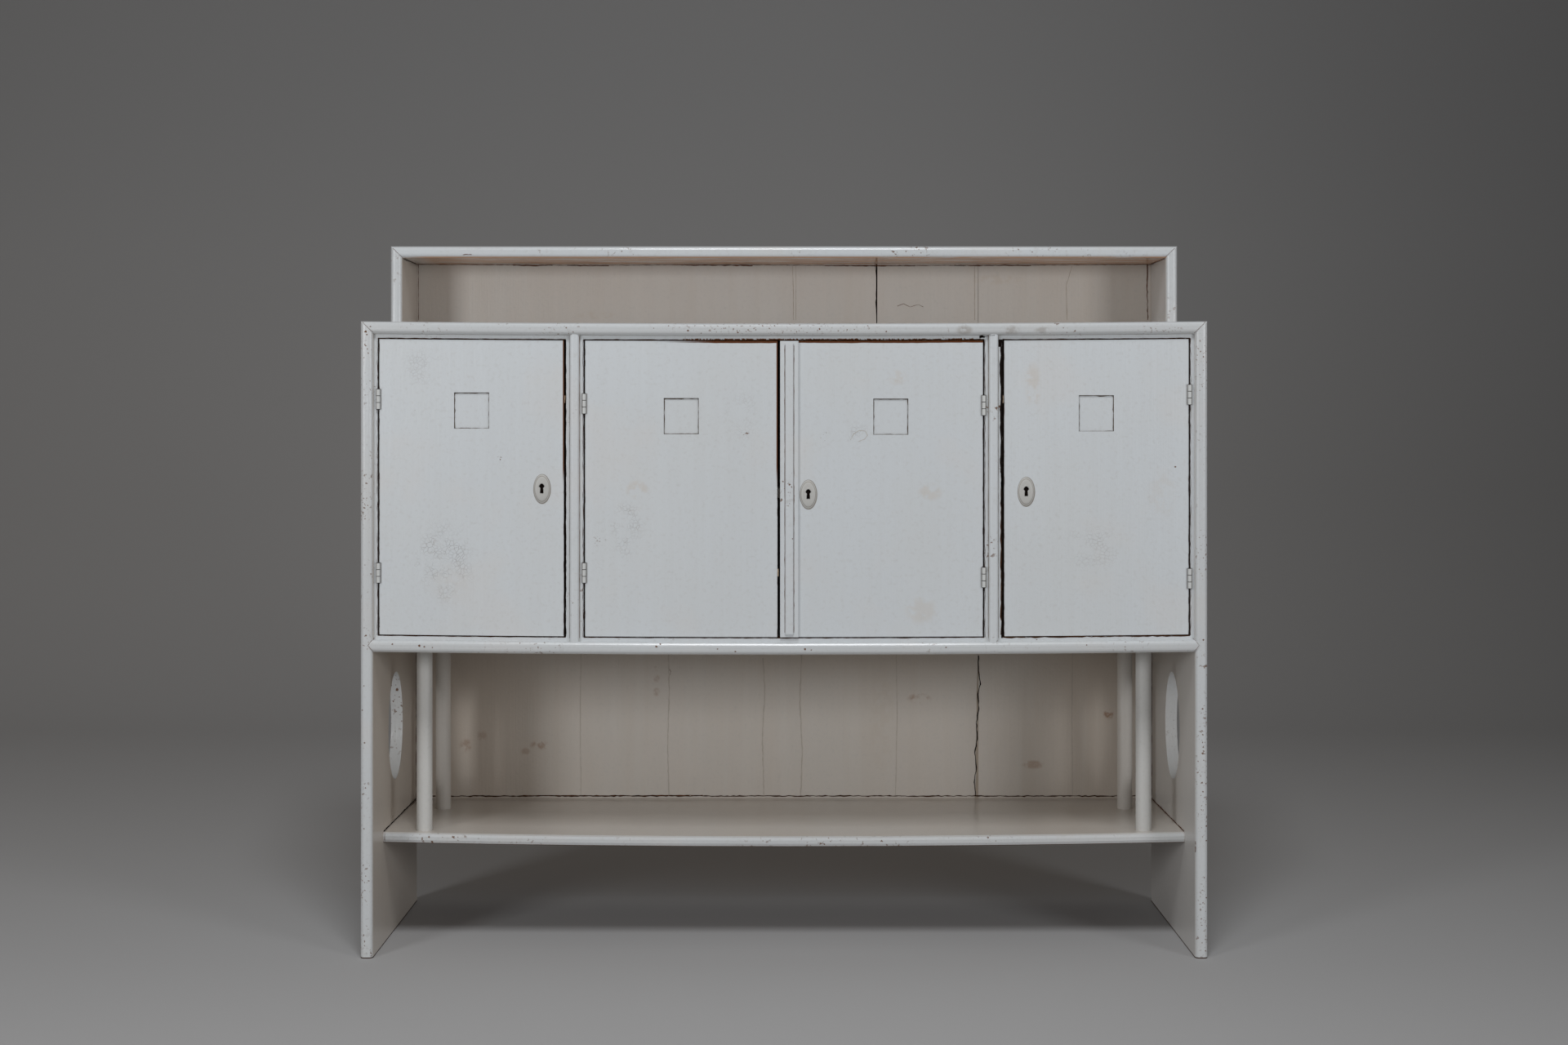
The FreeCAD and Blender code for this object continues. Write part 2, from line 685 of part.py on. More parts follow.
def escutcheon(door):
    """A domed oval plate with a rim and a keyhole, on the face of the door."""
    edge, rim, crown = ESCUTCHEON_EDGE, ESCUTCHEON_RIM, ESCUTCHEON_CROWN
    base, dome = ESCUTCHEON_BASE, ESCUTCHEON_DOME
    plate_steps = ((0, 0), (0, base - edge), (edge, base))
    dome_steps = ((rim, base), (rim + edge, base + dome * 0.5), (rim + crown, base + dome))
    plates = []
    for steps in (plate_steps, dome_steps):
        plates.append(faceted([oval_outline(door, inset, lift) for inset, lift in steps]))
    return plates[0].fuse(plates[1]).cut(keyhole(door, FACE_Y - base - dome, FACE_Y))


def sunk_square(door):
    """The shallow square in the middle of a door's visible panel."""
    left, right = door_edges(door)
    if door == "inner_right":
        left += ASTRAGAL_WIDTH
    x = (left + right) / 2
    top_z = DOOR_HEAD_Z - DOORS[door]["square"]
    half = SQUARE_WIDTH / 2
    return block(x - half, x + half, FACE_Y, FACE_Y + SQUARE_DEPTH, top_z - SQUARE_HEIGHT, top_z)


def door_panel(door):
    """A slab cut to the sagging frame, with its sunk square and any mortise for a lock."""
    left, right = door_edges(door)
    panel = bowed(left, right, FACE_Y, DOOR_BACK_Y, DOOR_FOOT, DOOR_HEAD)
    cutters = [sunk_square(door)]
    if DOORS[door]["lock"]:
        cutters.append(lock_case_blank(door))
        cutters.append(keyhole(door, FACE_Y, DOOR_BACK_Y))
    if door == "inner_left":
        cutters.extend(strike_cutters("inner_right"))
    return panel.cut(cutters)


def astragal():
    """The cover strip down the meeting edge of the inner right door, and the bead on it."""
    left = door_edges("inner_right")[0]
    right = left + ASTRAGAL_WIDTH
    middle = (left + right) / 2
    low_z, high_z = at_x(middle, DOOR_FOOT), at_x(middle, DOOR_HEAD)
    strip_y = FACE_Y - ASTRAGAL_THICK
    strip = block(left, right, strip_y, FACE_Y, low_z, high_z)
    strip = nosed(strip, ASTRAGAL_NOSE, ALONG_Z)
    bead_y = strip_y - BEAD_THICK
    half = BEAD_WIDTH / 2
    bead = block(middle - half, middle + half, bead_y, strip_y, low_z + BEAD_DROP, high_z - BEAD_DROP)
    return strip, nosed(bead, BEAD_NOSE, ALONG_Z)


def hinge_places(door):
    """The middle of the hinge gap, the direction into the door, and the hinges' heights."""
    left, right = door_edges(door)
    upper, lower = DOORS[door]["hinges"]
    heights = (DOOR_HEAD_Z - upper, DOOR_FOOT_Z + lower)
    if DOORS[door]["hinge"] == "left":
        return left - HINGE_GAP / 2, 1, heights
    return right + HINGE_GAP / 2, -1, heights


def barrel(x, low_z, high_z):
    """A faceted knuckle on a hinge's axis."""
    rings = []
    for z in (low_z, high_z):
        rings.append(ring_points((x, BARREL_Y, z), BARREL_RADIUS, BARREL_RADIUS, BARREL_SIDES, "z"))
    return faceted(rings)


def hinge_leaf(x, inward, z, knuckles):
    """One leaf with solid knuckles. Inward is the side of the pin that the leaf lies on."""
    near_x = x + inward * (HINGE_GAP / 2 - LEAF_THICK)
    far_x = x + inward * HINGE_GAP / 2
    half = HINGE_HEIGHT / 2
    plate_y = FACE_Y + LEAF_CLEAR
    leaf = block(near_x, far_x, plate_y, FACE_Y + LEAF_WIDTH, z - half, z + half)
    knuckle_height = HINGE_HEIGHT / 3
    for index in knuckles:
        low_z = z - half + index * knuckle_height + (KNUCKLE_GAP / 2 if index > 0 else 0)
        high_z = z - half + (index + 1) * knuckle_height - (KNUCKLE_GAP / 2 if index < 2 else 0)
        tab = block(near_x, far_x, BARREL_Y, plate_y, low_z, high_z)
        leaf = leaf.fuse([barrel(x, low_z, high_z), tab])
    return leaf.removeSplitter()


def door_leaf(x, inward, z):
    """The leaf on the door's edge. Its one knuckle turns on the pin."""
    bore = rod((x, BARREL_Y, z - HINGE_HEIGHT / 2), PIN_RADIUS + PIN_PLAY, HINGE_HEIGHT, (0, 0, 1))
    return hinge_leaf(x, inward, z, (1,)).cut(bore)


def frame_leaf(x, inward, z):
    """The leaf on the strip, with the pin riveted through its two knuckles."""
    pin = rod((x, BARREL_Y, z - HINGE_HEIGHT / 2), PIN_RADIUS, HINGE_HEIGHT, (0, 0, 1))
    return hinge_leaf(x, inward, z, (0, 2)).fuse(pin).removeSplitter()


def slide_place(end):
    """X of a slide bolt's middle, Y of its back, its near end's height and the way it is thrown."""
    edge, inward = latch_edge("inner_left")
    x = edge + inward * SLIDE_INSET
    y = DOOR_BACK_Y + PLATE_THICK
    if end == "top":
        return x, y, at_x(x, DOOR_HEAD) - SLIDE_MARGIN, 1
    return x, y, at_x(x, DOOR_FOOT) + SLIDE_MARGIN, -1


def slide_space(end, start, length, play):
    """The space of a slide bolt's bar, from a distance beyond its near end inwards."""
    x, y, z, way = slide_place(end)
    half = SLIDE_WIDTH / 2 + play
    z0 = z + way * start
    y0 = y + SLIDE_PLAY
    return block(x - half, x + half, y0 - play, y0 + SLIDE_THICK + play, z0, z0 - way * length)


def slide_socket(end):
    """The socket in a strip that a thrown slide bolt enters."""
    reach = SLIDE_MARGIN + END_GAP + STRIP_WIDTH
    return slide_space(end, reach, reach, SLIDE_PLAY)


def slide_bolt(end):
    """A flat slide bolt with its knob, drawn back inside the height of the door."""
    x, y, z, way = slide_place(end)
    bar = slide_space(end, 0, SLIDE_LENGTH, 0)
    half = KNOB_SIZE / 2
    knob_y = y + SLIDE_PLAY + SLIDE_THICK
    knob_z = z - way * SLIDE_LENGTH / 2
    knob = block(x - half, x + half, knob_y, knob_y + KNOB_LENGTH, knob_z - half, knob_z + half)
    return bar.fuse(knob)


def slide_plate(end):
    """A slide bolt's plate with the two guides that the bolt runs in."""
    x, y, z, way = slide_place(end)
    near_z = z - way * PLATE_MARGIN
    far_z = z - way * (SLIDE_LENGTH - PLATE_MARGIN)
    half = PLATE_WIDTH / 2
    plate = block(x - half, x + half, DOOR_BACK_Y, y, near_z, far_z)
    half = GUIDE_WIDTH / 2
    guides = []
    for start in (near_z, far_z + way * GUIDE_HEIGHT):
        end_z = start - way * GUIDE_HEIGHT
        guides.append(block(x - half, x + half, y, y + GUIDE_DEPTH, start, end_z))
    return plate.fuse(guides).removeSplitter().cut(slide_space(end, 0, SLIDE_LENGTH, SLIDE_PLAY))


def inner_shelf(compartment):
    """The plain shelf inside a compartment."""
    x0, x1 = COMPARTMENTS[compartment]
    top_z = CASE_FLOOR_Z + INNER_SHELF_RISE
    y0 = FRONT_Y + INNER_SHELF_SETBACK
    play = INNER_SHELF_PLAY
    return block(x0 + play, x1 - play, y0, BACK_Y, top_z - INNER_SHELF_THICK, top_z)


def bearers(compartment):
    """The two bearers that an inner shelf rests on."""
    top_z = CASE_FLOOR_Z + INNER_SHELF_RISE - INNER_SHELF_THICK
    y0 = FRONT_Y + INNER_SHELF_SETBACK + BEARER_SETBACK
    pieces = []
    for x, inward in zip(COMPARTMENTS[compartment], (1, -1)):
        pieces.append(block(x, x + inward * BEARER_WIDTH, y0, BACK_Y, top_z - BEARER_HEIGHT, top_z))
    return pieces


def door_stop(door):
    """A block under the top strip that a shut door comes up against."""
    edge, inward = latch_edge(door)
    x0 = edge + inward * STOP_INSET
    x1 = x0 + inward * STOP_LENGTH
    high_z = min(at_x(x0, STRIP_HEAD), at_x(x1, STRIP_HEAD))
    return block(x0, x1, DOOR_BACK_Y, FACE_Y + STRIP_DEPTH, high_z - STOP_DROP, high_z)


def gap_shim(door):
    """A small piece of wood in the latch gap of an outer door, fixed to the strip."""
    edge, inward = latch_edge(door)
    x = edge - inward * LATCH_GAP
    top_z = DOOR_HEAD_Z - SHIM_DROP + SHIM_HEIGHT / 2
    return block(x, x + inward * SHIM_THICK, FACE_Y, FACE_Y + SHIM_DEPTH, top_z - SHIM_HEIGHT, top_z)


def meeting_shim():
    """The same between the inner doors, fixed to the edge of the left one."""
    edge = latch_edge("inner_left")[0]
    z = DOOR_FOOT_Z + MEETING_SHIM_RISE
    half = SHIM_HEIGHT / 2
    return block(edge, edge + SHIM_THICK, FACE_Y, FACE_Y + SHIM_DEPTH, z - half, z + half)


def save_carcass():
    """Side boards, tops, bottom, partitions, back and the strips round the door openings."""
    grooves = partition_grooves(-PARTITION_X) + partition_grooves(PARTITION_X)
    boards = [case_top().cut(grooves), case_bottom().cut(grooves + posts())]
    save("case_top", boards[0])
    save("case_bottom", boards[1])
    save("hutch_top", hutch_top())
    front, rear = side_boards()
    save("side_front_board_left", front)
    save("side_rear_board_left", rear)
    save("side_front_board_right", mirrored(front))
    save("side_rear_board_right", mirrored(rear))
    for side, x in (("left", -PARTITION_X), ("right", PARTITION_X)):
        save(f"partition_{side}", partition(x, boards))
    for number in range(1, len(BACK_SHARES) + 1):
        save(f"back_board_{number}", back_board(number))
    for compartment in COMPARTMENTS:
        save(f"opening_strips_{compartment}", *strips(compartment))


def save_bay():
    """The shelf of the open bay and the posts over it."""
    save("lower_shelf", lower_shelf())
    for side in ("left", "right"):
        for place in POST_INSETS:
            save(f"post_{place}_{side}", post(side, place))


def save_interior():
    """Inner shelves, their bearers, the door stops and the shims in the gaps."""
    all_bearers = []
    for compartment in COMPARTMENTS:
        save(f"inner_shelf_{compartment}", inner_shelf(compartment))
        all_bearers.extend(bearers(compartment))
    save("shelf_bearers", *all_bearers)
    save("door_stops", *[door_stop(door) for door in DOORS])
    save("gap_shims", gap_shim("outer_left"), gap_shim("outer_right"))
    save("meeting_shim", meeting_shim())


def save_doors():
    """The door panels and what is fixed to their faces."""
    for door in DOORS:
        save(f"door_{door}", door_panel(door))
    strip, bead = astragal()
    save("astragal_strip", strip)
    save("astragal_bead", bead)


def save_hinges():
    """Frame leaves and their pins stay with the case, and each door carries its own leaves."""
    frame_leaves = []
    for door in DOORS:
        x, inward, heights = hinge_places(door)
        frame_leaves.extend(frame_leaf(x, -inward, z) for z in heights)
        save(f"hinge_leaves_{door}", *[door_leaf(x, inward, z) for z in heights])
    save("hinge_frame_leaves", *frame_leaves)


def save_locks():
    """Locks, their bolts, keyhole plates and strikes, and the slide bolts of the passive door."""
    for door in DOORS:
        if DOORS[door]["lock"]:
            save(f"lock_case_{door}", lock_case(door))
            save(f"lock_bolt_{door}", lock_bolt(door))
            save(f"escutcheon_{door}", escutcheon(door))
    save("strike_plates", strike_plate("outer_left"), strike_plate("outer_right"))
    save("strike_plate_meeting", strike_plate("inner_right"))
    save("slide_bolt_plates", slide_plate("top"), slide_plate("bottom"))
    save("slide_bolt_top", slide_bolt("top"))
    save("slide_bolt_bottom", slide_bolt("bottom"))


def report():
    """Prints the joint places and travels that the record needs."""
    for door in DOORS:
        x, inward, _ = hinge_places(door)
        print("hinge", door, "x", round(x, 3), "y", round(BARREL_Y, 3), "turns", -inward)
    print("bolt travel outer", LATCH_GAP + BOLT_ENTRY, "inner", MEETING_GAP + BOLT_ENTRY)
    print("slide bolt travel", SLIDE_MARGIN + END_GAP + SLIDE_ENTRY)
    print("overall height", HUTCH_TOP_Z)


os.makedirs("parts", exist_ok=True)
save_carcass()
save_bay()
save_interior()
save_doors()
save_hinges()
save_locks()
report()
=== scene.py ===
"""Dresses the white painted sideboard: old paint with its wear, key plates, cracks and dark joints,
and a plain photo studio round it. Metres, in the part's own frame, unless a comment says millimetres."""

import json
import math
import random

import bpy
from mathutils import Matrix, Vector
from mathutils.bvhtree import BVHTree


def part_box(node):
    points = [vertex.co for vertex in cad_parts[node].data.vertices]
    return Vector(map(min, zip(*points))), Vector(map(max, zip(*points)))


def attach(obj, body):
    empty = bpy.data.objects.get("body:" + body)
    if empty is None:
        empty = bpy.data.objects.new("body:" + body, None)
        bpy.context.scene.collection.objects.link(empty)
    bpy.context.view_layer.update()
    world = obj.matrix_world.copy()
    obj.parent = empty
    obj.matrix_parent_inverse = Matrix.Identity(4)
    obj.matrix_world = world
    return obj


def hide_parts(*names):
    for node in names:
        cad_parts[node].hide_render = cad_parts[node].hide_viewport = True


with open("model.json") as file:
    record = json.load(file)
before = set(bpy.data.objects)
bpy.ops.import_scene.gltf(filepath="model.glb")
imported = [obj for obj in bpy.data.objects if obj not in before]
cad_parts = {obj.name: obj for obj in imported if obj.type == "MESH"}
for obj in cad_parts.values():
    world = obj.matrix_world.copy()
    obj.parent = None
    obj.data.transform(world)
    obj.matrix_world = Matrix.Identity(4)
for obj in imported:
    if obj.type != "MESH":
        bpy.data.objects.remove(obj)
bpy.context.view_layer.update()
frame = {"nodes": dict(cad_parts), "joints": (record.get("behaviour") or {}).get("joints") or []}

NODES = frame["nodes"]
random.seed(11)

# Millimetres in a metre
MM = 1000

# The photograph's camera: its height, its distance from the front plane and its aim, in metres and pixels
FRONT_Y = -0.240
CAMERA_BACK = 3.852
CAMERA_Z = 0.945
LENS = 50
SENSOR = 36
AXIS_PX = 959.5
HORIZON_PX = 520
PHOTO_WIDTH = 1920
PHOTO_HEIGHT = 1280
METRES_PER_PX = 0.0014445

# Planes that carry the marks
FACE_Y = -0.228
BACK_Y = 0.226
NOSE_Y = -0.240
HUTCH_NOSE_Y = 0.056
SHELF_Y = -0.1385
# Where the search for a board starts
BEHIND_POSTS_Y = 0.14
BEFORE_FRONT_Y = -1.0
# Thin pieces stand this much in front of their boards
SKIN = 0.0003
LIFT = Vector((0, -SKIN, 0))
INWARD = Vector((0, 1, 0))

# The sagging head and foot of the openings between the strips, in millimetres
HEAD_Z = 1098.5
FOOT_Z = 571.5
HEAD_SAG = 3.8
FOOT_SAG = 5.2
HALF_WIDTH = 750.0

# Colours, linear
CLEAN = (0.615, 0.646, 0.671)
AGED = (0.604, 0.553, 0.499)
EDGE = (0.540, 0.548, 0.552)
EDGE_CLEAN = (0.590, 0.612, 0.628)
POST_WHITE = (0.60, 0.595, 0.575)
CREAM = (0.60, 0.60, 0.575)
COOL_WHITE = (0.70, 0.73, 0.75)
BRUSH_GREY = (0.50, 0.49, 0.47)
GRIME_GREY = (0.46, 0.45, 0.43)
ROSY_WHITE = (0.66, 0.60, 0.55)
PALE_RUN = (0.66, 0.64, 0.60)
YELLOWED_AND_SHADED = (0.555, 0.462, 0.375)
KNOT_BROWN = (0.33, 0.19, 0.12)
UNDER_BROWN = (0.60, 0.36, 0.225)
WARM_STAIN = (0.55, 0.48, 0.405)
CRAZE_BROWN = (0.36, 0.32, 0.295)
CHIP_BROWN = (0.17, 0.095, 0.06)
WORN_GREY = (0.40, 0.385, 0.37)
RAW_BROWN = (0.20, 0.105, 0.055)
GAP_BROWN_AND_SHADE = (0.050, 0.021, 0.010)
LIT_RIGHT_WALL = (0.64, 0.625, 0.605)
BARE_WOOD = (0.46, 0.345, 0.235)
GRAIN_WOOD = (0.33, 0.235, 0.155)
EDGE_WOOD = (0.135, 0.086, 0.055)
DARK_GAP = (0.010, 0.007, 0.006)
FITTING_PAINT = (0.60, 0.61, 0.60)
PLATE_PAINT = (0.49, 0.485, 0.465)
PLATE_GROOVE_AND_SHADOW = (0.29, 0.265, 0.235)
RUST = (0.120, 0.046, 0.021)
JOINT_AND_SHADOW_GREY = (0.13, 0.105, 0.085)
DRIP_GREY = (0.50, 0.455, 0.40)
STAIN_BROWN = (0.42, 0.355, 0.29)
STEEL = (0.33, 0.32, 0.30)
FLOOR_GREY = (0.45, 0.45, 0.455)
SHADED_WALL_GREY = (0.37, 0.374, 0.382)
SHADED_RIGHT_GREY = (0.235, 0.239, 0.246)


def at_photo(px, py, y):
    """The point on the upright plane y that the photograph shows at a pixel."""
    reach = METRES_PER_PX * (1 + (y - FRONT_Y) / CAMERA_BACK)
    return Vector(((px - AXIS_PX) * reach, y, CAMERA_Z - (py - HORIZON_PX) * reach))


# How much of a mark's oval patch fades out, and how deep it reaches
PATCH_SOFT = 0.55
PATCH_DEEP = 0.02


class Paint:
    """A material and its node graph, with short calls for the few kinds of node in use."""

    def __init__(self, name, roughness, metallic=0.0):
        self.material = bpy.data.materials.new(name)
        self.material.use_nodes = True
        self.tree = self.material.node_tree
        self.tree.nodes.clear()
        self.shader = self.add("ShaderNodeBsdfPrincipled")
        output = self.add("ShaderNodeOutputMaterial")
        self.link(self.shader.outputs["BSDF"], output.inputs["Surface"])
        self.shader.inputs["Roughness"].default_value = roughness
        self.shader.inputs["Metallic"].default_value = metallic
        coordinates = self.add("ShaderNodeTexCoord")
        self.place = coordinates.outputs["Object"]
        self.x, self.y, self.z = self.split(self.place)
        self.nx, self.ny, self.nz = self.split(coordinates.outputs["Normal"])

    def add(self, kind, **settings):
        node = self.tree.nodes.new(kind)
        for name, value in settings.items():
            setattr(node, name, value)
        return node

    def link(self, source, target):
        self.tree.links.new(source, target)

    def feed(self, target, value):
        """Sets a socket to a plain value, or joins it to another socket."""
        if isinstance(value, bpy.types.NodeSocket):
            self.link(value, target)
        elif target.type == "RGBA" and len(value) == 3:
            target.default_value = (*value, 1)
        else:
            target.default_value = value

    def split(self, vector):
        node = self.add("ShaderNodeSeparateXYZ")
        self.link(vector, node.inputs[0])
        return node.outputs[0], node.outputs[1], node.outputs[2]

    def math(self, operation, first, second=0.0):
        node = self.add("ShaderNodeMath", operation=operation)
        self.feed(node.inputs[0], first)
        self.feed(node.inputs[1], second)
        return node.outputs[0]

    def both(self, first, second):
        return self.math("MULTIPLY", first, second)

    def either(self, *masks):
        result = masks[0]
        for mask in masks[1:]:
            result = self.math("MAXIMUM", result, mask)
        return result

    def ramp(self, value, low, high, to_low=0.0, to_high=1.0):
        """Runs smoothly from one value to another as the input runs from low to high."""
        node = self.add("ShaderNodeMapRange", interpolation_type="SMOOTHSTEP")
        self.feed(node.inputs["Value"], value)
        ends = {"From Min": low, "From Max": high, "To Min": to_low, "To Max": to_high}
        for name, number in ends.items():
            node.inputs[name].default_value = number
        return node.outputs["Result"]

    def scaled(self, scale, shift=(0, 0, 0)):
        node = self.add("ShaderNodeMapping")
        self.link(self.place, node.inputs["Vector"])
        node.inputs["Scale"].default_value = scale
        node.inputs["Location"].default_value = shift
        return node.outputs["Vector"]

    def noise(self, scale, detail=3.0, stretch=(1, 1, 1), shift=(0, 0, 0)):
        node = self.add("ShaderNodeTexNoise")
        self.link(self.scaled([scale * s for s in stretch], shift), node.inputs["Vector"])
        node.inputs["Scale"].default_value = 1.0
        node.inputs["Detail"].default_value = detail
        return node.outputs["Fac"]

    def mix(self, factor, first, second):
        """The first colour, and the second one where the factor is one."""
        node = self.add("ShaderNodeMix", data_type="RGBA")
        self.feed(node.inputs[0], factor)
        self.feed(node.inputs[6], first)
        self.feed(node.inputs[7], second)
        return node.outputs[2]

    def patches(self, boxes, y):
        """Oval patches at boxes of the photograph's pixels: left, right, top, bottom and strength."""
        masks = []
        for left, right, top, bottom, strength in boxes:
            low, high = at_photo(left, bottom, y), at_photo(right, top, y)
            centre = (low + high) / 2
            radii = ((high.x - low.x) / 2, PATCH_DEEP, (high.z - low.z) / 2)
            shift = [-c / r for c, r in zip(centre, radii)]
            away = self.add("ShaderNodeVectorMath", operation="LENGTH")
            self.link(self.scaled([1 / r for r in radii], shift), away.inputs[0])
            masks.append(self.both(self.ramp(away.outputs["Value"], 1.0, 1.0 - PATCH_SOFT), strength))
        return self.either(*masks)

    def bump(self, height, distance, strength):
        node = self.add("ShaderNodeBump")
        node.inputs["Distance"].default_value = distance
        node.inputs["Strength"].default_value = strength
        self.link(height, node.inputs["Height"])
        self.link(node.outputs["Normal"], self.shader.inputs["Normal"])

    def finish(self, colour):
        self.feed(self.shader.inputs["Base Color"], colour)
        return self.material


# Brown wear at a door's sides, at its latch and from which height on, and the painted contact shade at a
# side board's foot
RIM = 0.0016
LATCH_RIM = 0.0026
LATCH_BROWN_Z = (0.83, 0.87)
FOOT_LINE = 0.0026
# The browned head of the centre doors
HEAD_BROWN_X = (-0.24, -0.12)
HEAD_GROWS_X = (-0.30, -0.10)
HEAD_GROWTH = 0.0016
HEAD_RAGGED = 0.0025
HEAD_BROWN_Z = (-0.0028, -0.0018)
# Where the brown strip under the hutch's top begins
UNDER_BROWN_X = (-0.72, -0.68)
# Where a side board's front is clean: its nose, and beside the hutch
CLEAN_NOSE_Y = (-0.15, -0.20)
CLEAN_HUTCH_Z = (1.10, 1.12)
# Where the back is yellowed and carries painted warm shade, and where the rear posts turn warmer
YELLOW_ENDS_X = (0.34, 0.62)
YELLOW_HEAD_Z = (0.42, 0.53)
YELLOW_TOP_Z = (0.70, 0.60)
YELLOW_POST_Y = (0.0, 0.1)

# Sheen, gloss and brush marks of sound paint
SHEEN = 0.5
GLOSS_ROUGHNESS = 0.16
BRUSH_RELIEF = 0.0005
BRUSH_STRENGTH = 0.6
# Crazed paint
CRAZE_CELLS = 145.0
CRAZE_BEND = 0.006
CRAZE_DEPTH = 3.5
CORNER_REACH = 0.005

# The way that the brush or the grain runs
BRUSHED = {"x": (8, 260, 260), "z": (260, 260, 8)}
GRAIN = {"x": (1, 30, 30), "z": (30, 30, 1)}
# Runs down the boards: a colour, the noise's detail, stretch and shift, and the part of it that shows
RUNS = (
    (WARM_STAIN, 3.0, (26, 26, 1.6), (4, 4, 1), 0.45, 0.70),
    (PALE_RUN, 2.0, (34, 34, 2.2), (9, 2, 6), 0.52, 0.72),
)
# Broad changes of tone: a colour, the noise's scale and detail, its shift or None where it follows the
# brush, the part of it that shows, and the strength
TINTS = (
    (CREAM, 5.0, 4.0, (3, 1, 2), 0.35, 0.75, 0.22),
    (COOL_WHITE, 1.6, 2.0, (7, 5, 1), 0.4, 0.7, 0.20),
    (BRUSH_GREY, 0.35, 2.0, None, 0.3, 0.7, 0.06),
    (GRIME_GREY, 150.0, 3.0, (6, 2, 5), 0.50, 0.80, 0.24),
    (ROSY_WHITE, 7.0, 3.0, (2, 8, 6), 0.52, 0.72, 0.16),
)
# Marks within boxes: their kind, the noise's scale and detail, the part of it that shows, and a colour
STAINS = (
    ("warm", 60.0, 4.0, 0.40, 0.58, WARM_STAIN),
    ("grey", 60.0, 4.0, 0.40, 0.58, WORN_GREY),
    ("knots", 60.0, 4.0, 0.40, 0.58, KNOT_BROWN),
    ("flecks", 230.0, 1.0, 0.64, 0.68, CHIP_BROWN),
)


def exposed_front(paint):
    """Where a board faces the front."""
    return paint.ramp(paint.ny, -0.15, -0.55)


def exposed_outside(paint):
    """Where a side board faces the front or away from the cabinet."""
    side = paint.math("SIGN", paint.x)
    outward = paint.ramp(paint.both(paint.nx, side), 0.4, 0.8)
    oval = paint.ramp(paint.math("ABSOLUTE", paint.nx), 0.5, 0.3)
    clean = paint.either(paint.ramp(paint.y, *CLEAN_NOSE_Y), paint.ramp(paint.z, *CLEAN_HUTCH_Z))
    return paint.either(paint.both(exposed_front(paint), clean), outward, paint.both(oval, 0.8))


def exposed_front_and_top(paint):
    """Where a board faces the front or up."""
    return paint.either(exposed_front(paint), paint.ramp(paint.nz, 0.4, 0.8))


def tinted(paint, colour, brushed):
    """The uneven tone of old paint."""
    for tint, scale, detail, shift, low, high, strength in TINTS:
        if shift is None:
            noise = paint.noise(scale, detail, BRUSHED[brushed])
        else:
            noise = paint.noise(scale, detail, shift=shift)
        colour = paint.mix(paint.ramp(noise, low, high, 0.0, strength), colour, tint)
    return colour


def with_runs(paint, colour, strength):
    """Faint runs down an upright board."""
    for tint, detail, stretch, shift, low, high in RUNS:
        run = paint.ramp(paint.noise(1.0, detail, stretch, shift), low, high, 0.0, strength)
        colour = paint.mix(run, colour, tint)
    return colour


def stained(paint, colour, marks, y):
    """A board's own stains, worn spots, knots and flecks."""
    for kind, scale, detail, low, high, stain in STAINS:
        if kind in marks:
            broken = paint.ramp(paint.noise(scale, detail), low, high)
            colour = paint.mix(paint.both(paint.patches(marks[kind], y), broken), colour, stain)
    return colour


def crazing(paint, boxes, y):
    """The fine cracks of crazed paint."""
    cells = paint.add("ShaderNodeTexVoronoi", feature="DISTANCE_TO_EDGE")
    cells.inputs["Scale"].default_value = CRAZE_CELLS
    bent = paint.add("ShaderNodeVectorMath", operation="ADD")
    paint.link(paint.scaled((1, 0, 1)), bent.inputs[0])
    paint.link(paint.both(paint.noise(90.0, 3.0), CRAZE_BEND), bent.inputs[1])
    paint.link(bent.outputs[0], cells.inputs["Vector"])
    lines = paint.ramp(cells.outputs["Distance"], 0.060, 0.01)
    broken = paint.ramp(paint.noise(38.0, 3.0, shift=(2, 9, 4)), 0.32, 0.62)
    return paint.both(paint.both(lines, paint.patches(boxes, y)), broken)


def chipped(paint, colour, chips):
    """Brown specks and rubbed spots, and the specks' mask."""
    facing = paint.ramp(paint.ny, -0.25, -0.6)
    worn = paint.both(facing, paint.ramp(paint.noise(9.0, 2.0, shift=(1, 4, 8)), 0.60 - chips * 0.12, 0.72))
    specks = paint.both(worn, paint.ramp(paint.noise(150.0, 3.0), 0.625, 0.65))
    rubbed = paint.ramp(paint.noise(70.0, 3.0, shift=(5, 5, 5)), 0.64, 0.70)
    colour = paint.mix(specks, colour, CHIP_BROWN)
    return paint.mix(paint.both(worn, paint.both(rubbed, 0.35)), colour, WORN_GREY), specks


